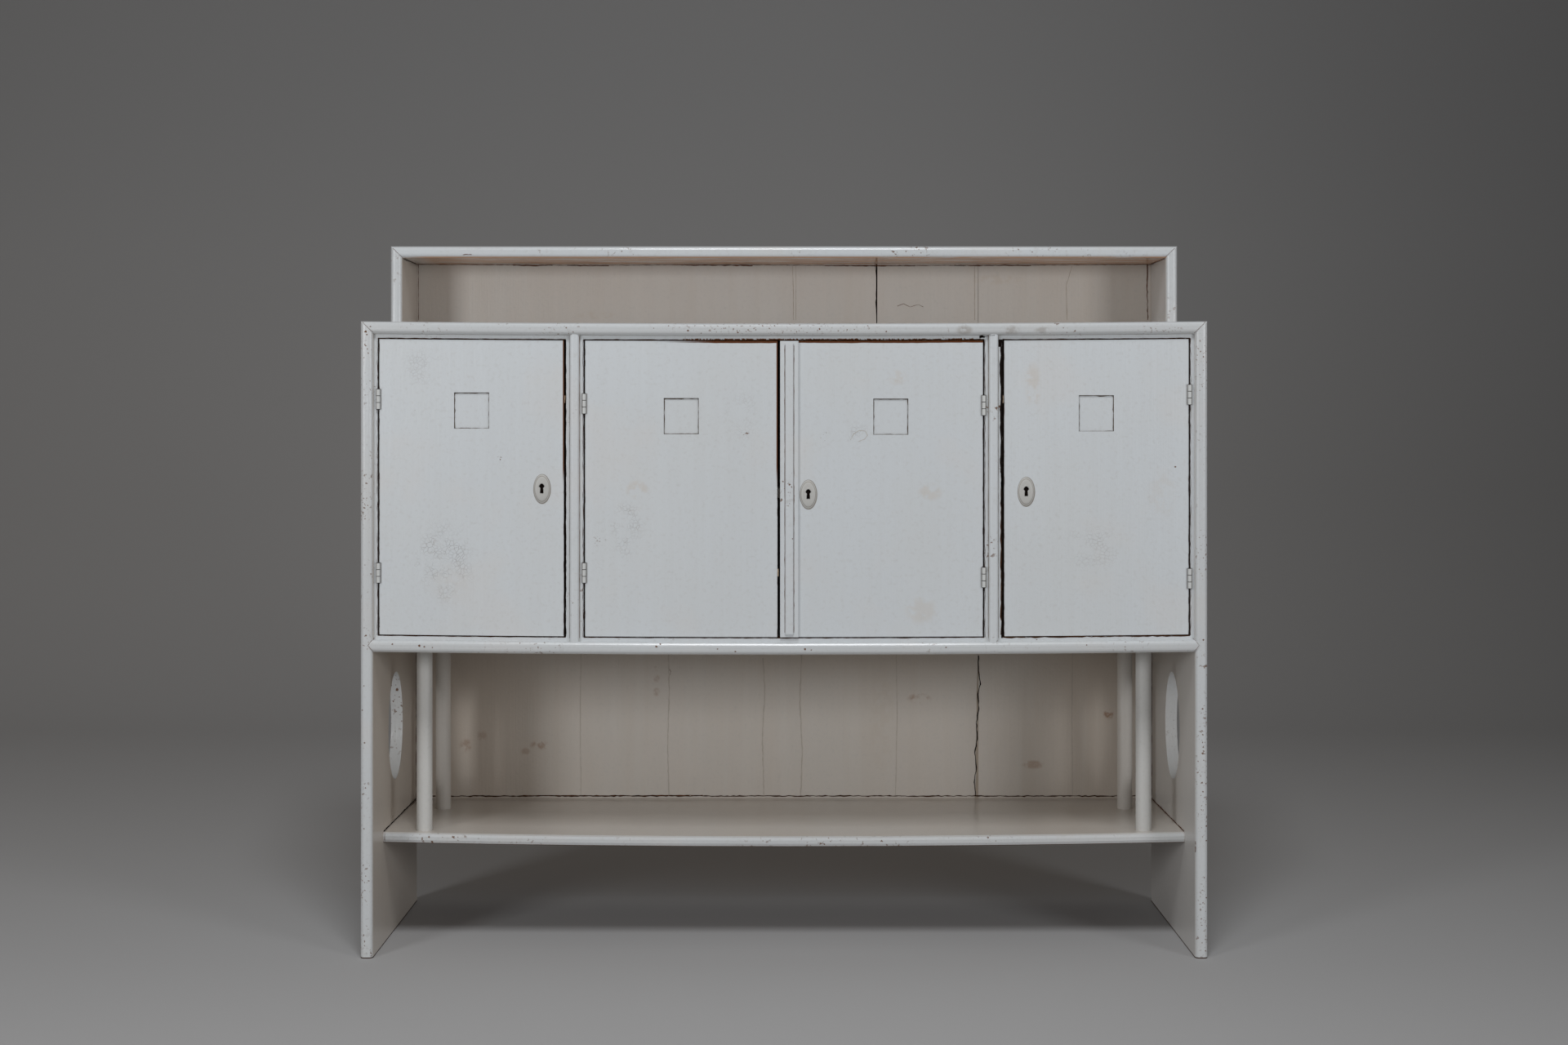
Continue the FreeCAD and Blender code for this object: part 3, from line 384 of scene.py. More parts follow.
def old_paint(name, brushed, exposed=None, chips=0.0, marks=None, marks_y=FACE_Y, bare=None, tone=CLEAN,
              dull=0.0, corner_dirt_and_shade=0.0, roughness=0.42, yellowed_and_shaded=None, lit_whiter=None, drips=0.0, gloss=0.0):
    """White oil paint of one tone, or aged where it isn't exposed, with the wear and the painted light and
    shade that are asked for.
    """
    marks = marks or {}
    paint = Paint(name, roughness)
    paint.shader.inputs["Coat Weight"].default_value = gloss
    paint.shader.inputs["Coat Roughness"].default_value = GLOSS_ROUGHNESS
    colour = tone if exposed is None else paint.mix(exposed(paint), AGED, tone)
    # Noses: a worn grey tone, and painted shade that grows as a front face turns downwards
    if dull:
        nose_wear_and_shade = paint.both(exposed_front(paint), paint.ramp(paint.nz, 0.8, -0.6, 0.0, dull))
        colour = paint.mix(nose_wear_and_shade, colour, EDGE)
    colour = tinted(paint, colour, brushed)
    # The insides of the side boards: a whiter right one and a darker left one, as painted light and shade
    if lit_whiter is not None:
        colour = paint.mix(lit_whiter(paint), colour, LIT_RIGHT_WALL)
    # Yellowed paint, which also carries painted warm shade in the bay
    if yellowed_and_shaded is not None:
        colour = paint.mix(yellowed_and_shaded(paint), colour, YELLOWED_AND_SHADED)
    if drips:
        colour = with_runs(paint, colour, drips)
    colour = stained(paint, colour, marks, marks_y)
    height = paint.math("ADD", paint.noise(1.0, 3.0, BRUSHED[brushed]), paint.noise(170.0, 3.0))
    if "crazed" in marks:
        cracks = crazing(paint, marks["crazed"], marks_y)
        colour = paint.mix(cracks, colour, CRAZE_BROWN)
        height = paint.math("SUBTRACT", height, paint.both(cracks, CRAZE_DEPTH))
    if chips:
        colour, specks = chipped(paint, colour, chips)
        height = paint.math("SUBTRACT", height, specks)
    if bare is not None:
        mask, wood = bare(paint)
        colour = paint.mix(mask, colour, wood)
        paint.feed(paint.shader.inputs["Specular IOR Level"], paint.ramp(mask, 0.0, 1.0, SHEEN, 0.0))
    # Brown dirt laid by ambient occlusion: it darkens the corners and the places between parts, so it is
    # painted shade as well as dirt
    if corner_dirt_and_shade:
        crevice = paint.add("ShaderNodeAmbientOcclusion", samples=8)
        crevice.inputs["Distance"].default_value = CORNER_REACH
        colour = paint.mix(paint.ramp(crevice.outputs["AO"], 0.75, 0.30, 0.0, corner_dirt_and_shade), colour, RAW_BROWN)
    paint.bump(height, BRUSH_RELIEF, BRUSH_STRENGTH)
    return paint.finish(colour)


def bare_edges(paint):
    """The raw, browned edges of a door or a strip, where the paint has rubbed off, near black with painted
    shade of the gaps.
    """
    side = paint.ramp(paint.math("ABSOLUTE", paint.nx), 0.5, 0.9)
    end = paint.ramp(paint.math("ABSOLUTE", paint.nz), 0.5, 0.9)
    return paint.either(side, end), GAP_BROWN_AND_SHADE


def rim_wear(node):
    """Raw edges for a door, and brown wear along the rim of its face."""
    low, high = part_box(node)

    def bare(paint):
        edges, wood = bare_edges(paint)
        left = paint.ramp(paint.x, low.x + RIM, low.x)
        right = paint.ramp(paint.x, high.x - RIM, high.x)
        patchy = paint.ramp(paint.noise(45.0, 4.0, shift=(8, 3, 3)), 0.50, 0.62, 0.45, 1.0)
        worn = paint.both(paint.either(left, right), patchy)
        brown = []
        if node.startswith("door_inner"):
            brown.append(browned_head(paint))
        if node.endswith("_left"):
            latch = paint.ramp(paint.x, high.x - LATCH_RIM, high.x - LATCH_RIM / 2)
            brown.append(paint.both(latch, paint.ramp(paint.z, *LATCH_BROWN_Z)))
        colour = paint.mix(edges, wood, EDGE_WOOD)
        if not brown:
            return paint.either(edges, worn), colour
        browned = paint.both(paint.either(*brown), exposed_front(paint))
        return paint.either(edges, worn, browned), paint.mix(browned, colour, RUST)

    return bare


def browned_head(paint):
    """The browned top edge of the two centre doors, wider from the middle of the left one on."""
    sag = HEAD_SAG / MM
    curve = paint.both(paint.both(paint.x, paint.x), sag / (HALF_WIDTH / MM) ** 2)
    height = paint.math("SUBTRACT", paint.math("SUBTRACT", paint.z, curve), HEAD_Z / MM - sag)
    uneven = paint.math("ADD", height, paint.both(paint.noise(30.0, 3.0), HEAD_RAGGED))
    wider = paint.ramp(paint.x, *HEAD_GROWS_X, 0.0, HEAD_GROWTH)
    spread = paint.ramp(paint.x, *HEAD_BROWN_X)
    return paint.both(spread, paint.ramp(paint.math("ADD", uneven, wider), *HEAD_BROWN_Z))


def bare_underside(paint):
    """The browned strip under the hutch's top board."""
    under = paint.ramp(paint.nz, -0.5, -0.9)
    patchy = paint.ramp(paint.noise(9.0, 4.0, (1, 4, 1)), 0.30, 0.50, 0.35, 1.0)
    start = paint.ramp(paint.x, *UNDER_BROWN_X, 0.2, 1.0)
    return paint.both(paint.both(under, patchy), start), UNDER_BROWN


def wood_grain(paint, along):
    return paint.noise(6.0, 4.0, GRAIN[along])


def bare_below(paint):
    """The unpainted underside of the lower shelf."""
    return paint.ramp(paint.nz, -0.6, -0.9), paint.mix(wood_grain(paint, "x"), RAW_BROWN, EDGE_WOOD)


def bare_behind(paint):
    """The unpainted rear faces of the back boards."""
    return paint.ramp(paint.ny, 0.5, 0.9), paint.mix(wood_grain(paint, "z"), BARE_WOOD, GRAIN_WOOD)


def foot_contact_shade(paint):
    """Painted contact shade: a dark line along a side board's lower edge, where it stands on the floor."""
    return paint.ramp(paint.z, FOOT_LINE, FOOT_LINE / 2), GAP_BROWN_AND_SHADE


def yellowed_and_shaded_back(paint):
    """The back is yellowed and carries painted warm shade, most at the two ends of the bay and along the
    bay's head.
    """
    ends = paint.ramp(paint.math("ABSOLUTE", paint.x), *YELLOW_ENDS_X, 0.0, 0.5)
    head = paint.ramp(paint.z, *YELLOW_HEAD_Z, 0.0, 0.35)
    return paint.both(paint.either(ends, head), paint.ramp(paint.z, *YELLOW_TOP_Z))


def warmer_rear_posts(paint):
    """The rear posts are warmer and darker than the front ones."""
    return paint.ramp(paint.y, *YELLOW_POST_Y, 0.0, 0.3)


def inner_face(paint):
    """Where a side board faces into the cabinet."""
    return paint.ramp(paint.both(paint.nx, paint.math("SIGN", paint.x)), -0.85, -0.97)


def shaded_yellowed_left_wall(paint):
    """The inside of the left side board is yellowed, and darker with painted shade."""
    return paint.both(inner_face(paint), paint.both(paint.ramp(paint.x, 0.0, -0.1), 0.22))


def lit_whiter_right_wall(paint):
    """The inside of the right side board is whiter: painted light."""
    return paint.both(inner_face(paint), paint.ramp(paint.x, 0.0, 0.1))


def plain(name, colour, roughness, metallic=0.0):
    return Paint(name, roughness, metallic).finish(colour)


def dull_line(name, colour):
    """The flat colour of a gap, a line of dirt or painted shade, without any sheen."""
    paint = Paint(name, 1.0)
    paint.shader.inputs["Specular IOR Level"].default_value = 0.0
    return paint.finish(colour)


def raw_wood(name):
    """Unpainted, darkened softwood."""
    paint = Paint(name, 0.62)
    grain = wood_grain(paint, "x")
    paint.bump(grain, 0.0003, 0.3)
    return paint.finish(paint.mix(paint.ramp(grain, 0.3, 0.7), GRAIN_WOOD, BARE_WOOD))


# Marks on each board as the photograph shows them: left, right, top and bottom in its pixels, and strength
DOOR_MARKS = {
    "outer_left": {
        "crazed": [(500, 587, 629, 751, 0.45), (512, 565, 672, 722, 0.6), (486, 552, 418, 478, 0.25)],
        "flecks": [(503, 525, 498, 505, 1.0), (606, 616, 558, 568, 0.9)],
        "warm": [(515, 585, 680, 745, 0.10)],
    },
    "inner_left": {
        "crazed": [(742, 792, 606, 692, 0.4), (878, 937, 468, 552, 0.2)],
        "warm": [(763, 797, 586, 614, 0.4)],
        "flecks": [(908, 922, 526, 537, 1.0), (722, 745, 640, 672, 0.5)],
    },
    "inner_right": {
        "warm": [(1083, 1112, 450, 474, 0.3), (1120, 1157, 590, 616, 0.35), (1103, 1152, 728, 768, 0.3)],
        "flecks": [(1003, 1017, 528, 543, 0.9)],
        "crazed": [(1030, 1075, 515, 552, 0.3)],
    },
    "outer_right": {
        "warm": [(1253, 1277, 438, 505, 0.35), (1400, 1445, 570, 640, 0.15)],
        "crazed": [(1288, 1382, 635, 705, 0.3)],
    },
}
CASE_TOP_MARKS = {
    "grey": [
        (1168, 1193, 397, 412, 0.9), (1221, 1253, 397, 412, 0.9), (1264, 1290, 399, 411, 0.8),
    ],
    "flecks": [
        (780, 1130, 392, 412, 0.7), (640, 700, 398, 410, 0.5), (1380, 1460, 396, 410, 0.5),
    ],
}
SIDE_MARKS = {
    "flecks": [
        (1460, 1488, 850, 1050, 1.0), (1460, 1486, 640, 720, 0.9), (1460, 1486, 395, 500, 0.9),
        (1462, 1490, 1060, 1190, 0.8), (434, 456, 412, 445, 1.0), (434, 456, 765, 805, 1.0),
        (434, 456, 560, 660, 0.8), (434, 456, 1040, 1120, 0.8), (1420, 1442, 325, 370, 0.9),
    ],
}
BACK_MARKS = {
    "knots": [
        (560, 580, 903, 923, 0.5), (582, 598, 892, 912, 0.35), (636, 650, 915, 926, 0.4),
        (646, 674, 906, 920, 0.6), (798, 809, 811, 823, 0.7), (798, 809, 825, 837, 0.4),
        (798, 809, 841, 854, 0.4), (1108, 1142, 848, 863, 0.6), (1349, 1365, 867, 883, 1.0),
        (1248, 1282, 930, 943, 0.5),
    ],
    "warm": [
        (700, 760, 380, 392, 0.4), (1180, 1260, 335, 350, 0.4), (1060, 1100, 800, 960, 0.25),
    ],
}

MATERIALS = {
    "front_x": old_paint("paint_boards_along_x", "x", exposed_front_and_top, chips=0.8,
                         marks=CASE_TOP_MARKS, marks_y=NOSE_Y, dull=0.9, roughness=0.34, gloss=0.8),
    "upright": old_paint("paint_side_boards", "z", exposed_outside, chips=1.3, bare=foot_contact_shade,
                         tone=EDGE_CLEAN, roughness=0.30, yellowed_and_shaded=shaded_yellowed_left_wall,
                         lit_whiter=lit_whiter_right_wall, drips=0.05, marks=SIDE_MARKS, marks_y=NOSE_Y),
    "shelf": old_paint("paint_lower_shelf", "x", exposed_front, chips=1.0, dull=0.8, corner_dirt_and_shade=0.8,
                       bare=bare_below, tone=EDGE_CLEAN, roughness=0.30, gloss=0.4),
    "strips": old_paint("paint_strips", "z", exposed_front, chips=0.6, bare=bare_edges),
    "astragal": old_paint("paint_astragal", "z", chips=0.15),
    "partition": old_paint("paint_partitions", "z", exposed_front, chips=0.15),
    "posts": old_paint("paint_posts", "z", tone=POST_WHITE, yellowed_and_shaded=warmer_rear_posts),
    "hutch_top": old_paint("paint_hutch_top", "x", exposed_front_and_top, chips=0.7,
                           bare=bare_underside, roughness=0.34, gloss=0.8),
    "back": old_paint("paint_back", "z", tone=AGED, marks=BACK_MARKS, marks_y=BACK_Y, bare=bare_behind,
                      corner_dirt_and_shade=0.6, yellowed_and_shaded=yellowed_and_shaded_back, drips=0.15),
    "filler": old_paint("paint_in_the_seams", "z", tone=AGED, yellowed_and_shaded=yellowed_and_shaded_back, drips=0.15),
    "aged": old_paint("paint_inside", "x", tone=AGED),
    "wood": raw_wood("bare_wood_inside"),
    "fitting": plain("painted_fitting", FITTING_PAINT, 0.42),
    "steel": plain("dull_steel", STEEL, 0.45, 1.0),
    "dark": dull_line("dark_gap", DARK_GAP),
    "rust": dull_line("brown_gap", RUST),
    "plate": plain("painted_key_plate", PLATE_PAINT, 0.45),
    "groove": dull_line("plate_groove_and_shadow", PLATE_GROOVE_AND_SHADOW),
    "line": dull_line("grey_joint_and_shadow", JOINT_AND_SHADOW_GREY),
    "gap": dull_line("browned_and_shaded_rim", GAP_BROWN_AND_SHADE),
    "chip": dull_line("chipped_paint", CHIP_BROWN),
    "drip": dull_line("dripped_seam", DRIP_GREY),
    "stain": dull_line("stained_seam", STAIN_BROWN),
}
DOORS = ("outer_left", "inner_left", "inner_right", "outer_right")
DOOR_PAINT = {
    f"door_{door}": old_paint(f"paint_{door}_door", "z", exposed_front,
                              marks=DOOR_MARKS[door], bare=rim_wear(f"door_{door}"))
    for door in DOORS
}

# The finish of each node, by the start of its name
FINISHES = (
    ("astragal", "astragal"),
    ("back_board", "back"),
    ("case_", "front_x"),
    ("side_", "upright"),
    ("lower_shelf", "shelf"),
    ("opening_strips", "strips"),
    ("partition", "partition"),
    ("post_", "posts"),
    ("hutch_top", "hutch_top"),
    ("inner_shelf", "aged"),
    ("shelf_bearers", "wood"),
    ("door_stops", "wood"),
    ("gap_shims", "wood"),
    ("meeting_shim", "wood"),
    ("hinge", "fitting"),
    ("escutcheon", "fitting"),
    ("lock", "steel"),
    ("strike", "steel"),
    ("slide", "steel"),
)


def finish_nodes():
    """Gives every board and fitting its finish."""
    for name, node in NODES.items():
        if name in DOOR_PAINT:
            material = DOOR_PAINT[name]
        else:
            material = MATERIALS[next(finish for start, finish in FINISHES if name.startswith(start))]
        for place in node.material_slots:
            place.material = material


def new_object(name, points, faces, material, smooth=False):
    """A new mesh of one material, linked to the scene."""
    mesh = bpy.data.meshes.new(name)
    mesh.from_pydata([tuple(p) for p in points], [], faces)
    mesh.update()
    mesh.materials.append(material)
    if smooth:
        mesh.shade_smooth()
    made = bpy.data.objects.new(name, mesh)
    bpy.context.scene.collection.objects.link(made)
    return made


def mesh_piece(name, points, faces, finish, body="root", smooth=False):
    """A new piece that rides on a body."""
    piece = new_object(name, points, faces, MATERIALS[finish], smooth)
    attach(piece, body)
    return piece


# Key plates: domed ovals as rings from the rim inwards, each a share of the oval and a height
LOCKED_DOORS = ("outer_left", "inner_right", "outer_right")
PLATE_HIGH = 0.0032
PLATE_RINGS = (
    (1.00, 0.0), (0.99, 0.0007), (0.96, 0.0012), (0.90, 0.0013), (0.86, 0.0019),
    (0.80, 0.0025), (0.66, 0.0029), (0.50, 0.0031), (0.36, 0.0032),
)
PLATE_SIDES = 48
GROOVE_RING = 3
# The keyhole: a round top above the plate's middle, and a slot that widens downwards
KEY_RISE = 0.0054
KEY_RADIUS = 0.0046
KEY_NECK = 0.0024
KEY_FOOT = 0.0032
KEY_DROP = 0.0130
KEY_TOP_STEPS = 30
# The painted shadow round a plate: its reach to both sides of the rim, and its shift down and to the right
PLATE_SHADOW_REACH = 0.0011
PLATE_SHADOW_SHIFT = Vector((0.00035, 0, -0.0004))


def keyhole_ring():
    """The keyhole's outline about the plate's middle, as many points as the plate's rings have."""
    opening = math.asin(KEY_NECK / KEY_RADIUS)
    neck_z = KEY_RISE - KEY_RADIUS * math.cos(opening)
    foot_z = KEY_RISE - KEY_DROP
    side_steps = (PLATE_SIDES - KEY_TOP_STEPS) // 2
    side, top = [], []
    for step in range(side_steps):
        share = step / side_steps
        side.append((-KEY_FOOT + (KEY_FOOT - KEY_NECK) * share, foot_z + (neck_z - foot_z) * share))
    for step in range(KEY_TOP_STEPS):
        turn = (math.pi - opening) * (2 * step / (KEY_TOP_STEPS - 1) - 1)
        top.append((KEY_RADIUS * math.sin(turn), KEY_RISE + KEY_RADIUS * math.cos(turn)))
    return side + top + [(-x, z) for x, z in reversed(side)]


def plate_rings(half_x, half_z):
    """A plate's rings about its middle, the last two round the keyhole, in front and behind."""
    turns = [math.pi + 2 * math.pi * (step + 0.5) / PLATE_SIDES for step in range(PLATE_SIDES)]
    rings = []
    for share, rise in PLATE_RINGS:
        ring = []
        for turn in turns:
            reach = share / math.hypot(math.sin(turn) / half_x, math.cos(turn) / half_z)
            ring.append((math.sin(turn) * reach, -rise, math.cos(turn) * reach))
        rings.append(ring)
    for y in (-PLATE_HIGH, 0.0):
        rings.append([(x, y, z) for x, z in keyhole_ring()])
    return rings


def band(start, count):
    """The faces between one ring of points and the next."""
    nexts = [(k + 1) % count for k in range(count)]
    return [(start + k, start + n, start + n + count, start + k + count) for k, n in enumerate(nexts)]


def key_plate(door):
    """A smooth key plate in place of the plain one, with painted shade in its groove and keyhole, and a
    painted shadow round it.
    """
    low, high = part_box(f"escutcheon_{door}")
    middle = (low + high) / 2
    rings = plate_rings((high.x - low.x) / 2, (high.z - low.z) / 2)
    points = [middle + Vector((x, high.y - middle.y + y, z)) for ring in rings for x, y, z in ring]
    count = PLATE_SIDES
    faces = [face for ring in range(len(rings) - 1) for face in band(ring * count, count)]
    faces.append(tuple(range(count)))
    body = f"{door}_door"
    plate = mesh_piece(f"key_plate_{door}", points, faces, "plate", body, True)
    plate.data.materials.append(MATERIALS["groove"])
    plate.data.materials.append(MATERIALS["dark"])
    # The band on the dome's step and the keyhole's walls are painted in dark shade
    for ring, index in ((GROOVE_RING, 1), (len(PLATE_RINGS), 2)):
        for face in plate.data.polygons[ring * count:(ring + 1) * count]:
            face.material_index = index
    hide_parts(f"escutcheon_{door}")
    outline = []
    for reach in (-PLATE_SHADOW_REACH, PLATE_SHADOW_REACH):
        for point in points[:count]:
            offset = point - Vector((middle.x, point.y, middle.z))
            outline.append(point + offset.normalized() * reach + PLATE_SHADOW_SHIFT + LIFT)
    mesh_piece(f"key_plate_shadow_{door}", outline, band(0, count), "groove", body)
    # A dark sheet at the back of the keyhole: painted shade
    hole = [point + LIFT for point in points[-count:]]
    mesh_piece(f"keyhole_{door}", hole, [tuple(range(count))], "dark", body)


# How a line varies: its straight steps in metres, and its wander as a share of its width
BACK_WAVER = (0.006, 0.5)
CRACK_WAVER = (0.004, 0.5)
NOSE_WAVER = (0.002, 0.3)
JOINT_WAVER = (0.008, 0.4)
RIM_WAVER = (0.007, 0.4)
SQUARE_WAVER = (0.006, 0.2)
LINE_WIDTHS = (0.35, 1.0)

# Dark lines where the back's boards meet: a name, a finish, the width in millimetres, and the route in the
# photograph's pixels
BACK_LINES = (
    ("hutch_head_line", "rust", 1.3, ((512, 324), (700, 325), (900, 324.5), (1100, 325.5), (1405, 324))),
    ("hutch_head_dash_1", "rust", 2.6, ((628, 325), (652, 325.4), (676, 324.8))),
    ("hutch_head_dash_2", "rust", 2.0, ((694, 325), (722, 325.6), (745, 325.2))),
    ("hutch_head_dash_3", "rust", 2.4, ((834, 325), (860, 324.8), (921, 325.4))),
    ("hutch_head_dash_4", "rust", 2.2, ((1010, 325.2), (1064, 325.8), (1120, 325.4))),
    ("hutch_head_dash_5", "rust", 2.4, ((1168, 325.4), (1230, 325), (1262, 325.4))),
    ("hutch_left_corner", "rust", 1.0, ((512, 322), (512, 392))),
    ("hutch_right_corner", "rust", 2.6, ((1404.5, 322), (1404, 350), (1405, 392))),
    ("hutch_seam_middle", "stain", 1.1, ((970, 326), (971, 360), (971, 392))),
    ("hutch_seam_twin", "stain", 0.6, ((974, 326), (974, 392))),
    ("hutch_split", "dark", 1.6, ((1071, 322), (1073, 345), (1072, 370), (1073, 392))),
    ("hutch_wavy_crack", "rust", 1.0, ((1098, 375), (1106, 372), (1114, 376), (1124, 373), (1130, 376))),
    ("hutch_seam_right", "stain", 1.1, ((1193, 326), (1193, 392))),
    ("hutch_seam_end", "stain", 1.1, ((1312, 326), (1305, 350), (1306, 392))),
    ("bay_seam_left", "drip", 1.6, ((711, 800), (710, 880), (711, 975))),
    ("bay_seam_knots", "drip", 2.2, ((818, 800), (819, 850), (817, 910), (818.5, 975))),
    ("bay_seam_middle", "drip", 2.6, ((934, 806), (936, 850), (933, 900), (935, 975))),
    ("bay_seam_twin", "drip", 2.6, ((981, 800), (979, 860), (982, 920), (980, 975))),
    ("bay_seam_right", "drip", 1.6, ((1097, 800), (1098, 880), (1096, 975))),
    ("bay_seam_end", "drip", 1.6, ((1313, 800), (1312, 880), (1313, 975))),
    ("bay_foot_line", "gap", 3.0, ((512, 975), (800, 975), (1100, 975), (1407, 975))),
    ("bay_foot_stain", "rust", 2.4, ((640, 974.4), (760, 974.6), (860, 974.2))),
    ("bay_small_crack", "rust", 0.9, ((818, 818), (821, 822), (820, 827))),
    ("bay_crack", "dark", 2.6, ((1197.5, 803), (1198, 822), (1200, 838), (1196.5, 850), (1198, 868),
                                (1195, 885), (1196, 905), (1193, 922), (1195, 940), (1192.5, 958),
                                (1194, 975))),
)


def board_faces():
    """All the faces of the boards, for laying thin pieces on them."""
    points, faces = [], []
    for node in NODES.values():
        start = len(points)
        points += [v.co.copy() for v in node.data.vertices]
        faces += [[start + k for k in face.vertices] for face in node.data.polygons]
    return BVHTree.FromPolygons(points, faces)


BOARDS = board_faces()


def laid_on(point, start_y):
    """The point moved along Y onto the first board behind start_y, with a little to spare."""
    hit, _, _, _ = BOARDS.ray_cast(Vector((point.x, start_y, point.z)), INWARD)
    y = point.y if hit is None else hit.y
    return Vector((point.x, y - SKIN, point.z))


def uneven_line(corners, width, waver, square_to):
    """The two edges of a thin line of uneven width in millimetres, square to the given direction."""
    width /= MM
    step, wander = waver
    points = []
    for start, end in zip(corners, corners[1:]):
        count = max(int((end - start).length / step), 1)
        points += [start.lerp(end, k / count) for k in range(count)]
    points.append(corners[-1])
    left, right = [], []
    for index, point in enumerate(points):
        ahead = points[min(index + 1, len(points) - 1)] - points[max(index - 1, 0)]
        across = ahead.cross(square_to).normalized()
        half = width / 2 * random.uniform(*LINE_WIDTHS)
        centre = point + across * width * wander * random.uniform(-0.5, 0.5)
        left.append(centre + across * half)
        right.append(centre - across * half)
    return left, right


def line_piece(name, left, right, finish, body, slot):
    """The thin piece between two edges."""
    count = len(left)
    faces = [(k, k + 1, count + k + 1, count + k) for k in range(count - 1)]
    mesh_piece(name, left + right, faces, finish, body)


def ribbon(name, route, width, finish, y, start_y, waver, body="root", slot="aged_inner_paint"):
    """A thin line along a route of the photograph's pixels, laid on the boards."""
    corners = [at_photo(px, py, y) for px, py in route]
    edges = uneven_line(corners, width, waver, INWARD)
    left, right = [[laid_on(point, start_y) for point in edge] for edge in edges]
    line_piece(name, left, right, finish, body, slot)


def back_lines():
    for name, finish, width, route in BACK_LINES:
        ribbon(name, route, width, finish, BACK_Y, BEHIND_POSTS_Y, BACK_WAVER)


# The same for the joints of the noses in front, with the plane of each
FRONT_LINES = (
    ("case_mitre_left", "rust", 0.8, NOSE_Y, ((442, 393.5), (456.5, 407.5))),
    ("case_mitre_right", "rust", 0.8, NOSE_Y, ((1476, 394), (1462, 408))),
    ("case_cope_left", "rust", 0.8, NOSE_Y, ((456.5, 782), (450, 790.5), (456.5, 799))),
    ("case_cope_right", "rust", 0.8, NOSE_Y, ((1461.5, 782), (1468, 790.5), (1461.5, 799))),
    ("hutch_mitre_left", "rust", 0.8, HUTCH_NOSE_Y, ((480.5, 304), (494, 317))),
    ("hutch_mitre_right", "rust", 0.8, HUTCH_NOSE_Y, ((1438, 304), (1424, 317))),
    ("shelf_joint_left", "rust", 1.2, SHELF_Y, ((470.5, 1018), (470.5, 1031))),
    ("shelf_joint_right", "rust", 1.2, SHELF_Y, ((1451, 1018), (1451, 1031))),
    ("hutch_dash", "rust", 1.7, HUTCH_NOSE_Y, ((566, 312), (571, 311.6), (577, 312))),
    ("partition_notch", "dark", 4.6, NOSE_Y, ((1199.5, 412.5), (1203, 412), (1206, 412.5))),
    ("head_stain", "rust", 3.0, FACE_Y, ((836, 415.7), (960, 415.8), (1080, 415.7), (1200, 415.3))),
    ("partition_crack", "dark", 1.0, NOSE_Y, ((1206, 412), (1212, 411), (1218, 410.5))),
)


def front_lines():
    for name, finish, width, y, route in FRONT_LINES:
        ribbon(name, route, width, finish, y, BEFORE_FRONT_Y, NOSE_WAVER, slot="white_paint")


# The curved crack on the inner right door, and its width in millimetres
DOOR_CRACK = ((1041, 539), (1045, 531), (1052, 527), (1059, 528), (1062, 533), (1058, 538), (1050, 541))
DOOR_CRACK_WIDTH = 1.0


def door_lines():
    ribbon("door_crack", DOOR_CRACK, DOOR_CRACK_WIDTH, "drip", FACE_Y, BEFORE_FRONT_Y, CRACK_WAVER,
           "inner_right_door", "white_paint")


# Joints between boards in the part's own frame, in millimetres: a name, a finish, a width, the direction
# that the line is square to, and its two ends
JOINT_LINES = (
    ("shelf_line_left", "dark", 3.4, (1, 0, 0), ((-727.6, -132, 204.9), (-727.6, 225, 204.9))),
    ("shelf_line_right", "rust", 3.0, (1, 0, 0), ((727.6, -132, 204.9), (727.6, 225, 204.9))),
    ("bay_corner_left", "rust", 11.0, (1, 0, 0), ((-727.6, 219, 206), (-727.6, 219, 545))),
    ("bay_corner_right", "rust", 9.0, (1, 0, 0), ((727.6, 219, 206), (727.6, 219, 545))),
    ("hutch_line_left", "dark", 1.8, (1, 0, 0), ((-727.6, 66, 1262.1), (-727.6, 225, 1262.1))),
    ("hutch_line_right", "rust", 1.4, (1, 0, 0), ((727.6, 66, 1262.1), (727.6, 225, 1262.1))),
    ("partition_line_a", "line", 0.9, (0, 1, 0), ((-380.5, -228.3, 566), (-380.5, -228.3, 1102))),
    ("partition_line_b", "rust", 0.8, (0, 1, 0), ((-362.5, -228.3, 566), (-362.5, -228.3, 1102))),
    ("partition_line_c", "line", 0.9, (0, 1, 0), ((362.5, -228.3, 566), (362.5, -228.3, 1102))),
    # The latch gap's dark lines: painted shade that widens the gap beside the outer right door's latch
    ("latch_gap_head", "dark", 8.5, (0, 1, 0), ((383.4, -228.4, 1083), (383.4, -228.4, 1096))),
    ("latch_gap_upper", "dark", 4.4, (0, 1, 0), ((385.2, -228.4, 860), (385.2, -228.4, 1084))),
    ("latch_gap_middle", "dark", 3.4, (0, 1, 0), ((386.1, -228.45, 800), (386.1, -228.45, 1084))),
    ("latch_gap_lower", "gap", 3.8, (0, 1, 0), ((385.6, -228.4, 572), (385.6, -228.4, 861))),
    ("latch_gap_foot", "dark", 2.6, (0, 1, 0), ((386.6, -228.45, 566), (386.6, -228.45, 861))),
    ("partition_line_d", "line", 0.9, (0, 1, 0), ((380.5, -228.3, 566), (380.5, -228.3, 1102))),
)
# The joint lines of the cover strip's bead, which move with its door
BEAD_LINES = (
    ("bead_line_left", "rust", 1.4, (0, 1, 0), ((1.5, -233.3, 576), (1.5, -233.3, 1085))),
    ("bead_line_right", "rust", 1.4, (0, 1, 0), ((17.4, -233.3, 576), (17.4, -233.3, 1085))),
    ("bead_line_head", "rust", 2.0, (0, 1, 0), ((1.5, -233.3, 1084.6), (17.4, -233.3, 1084.6))),
)


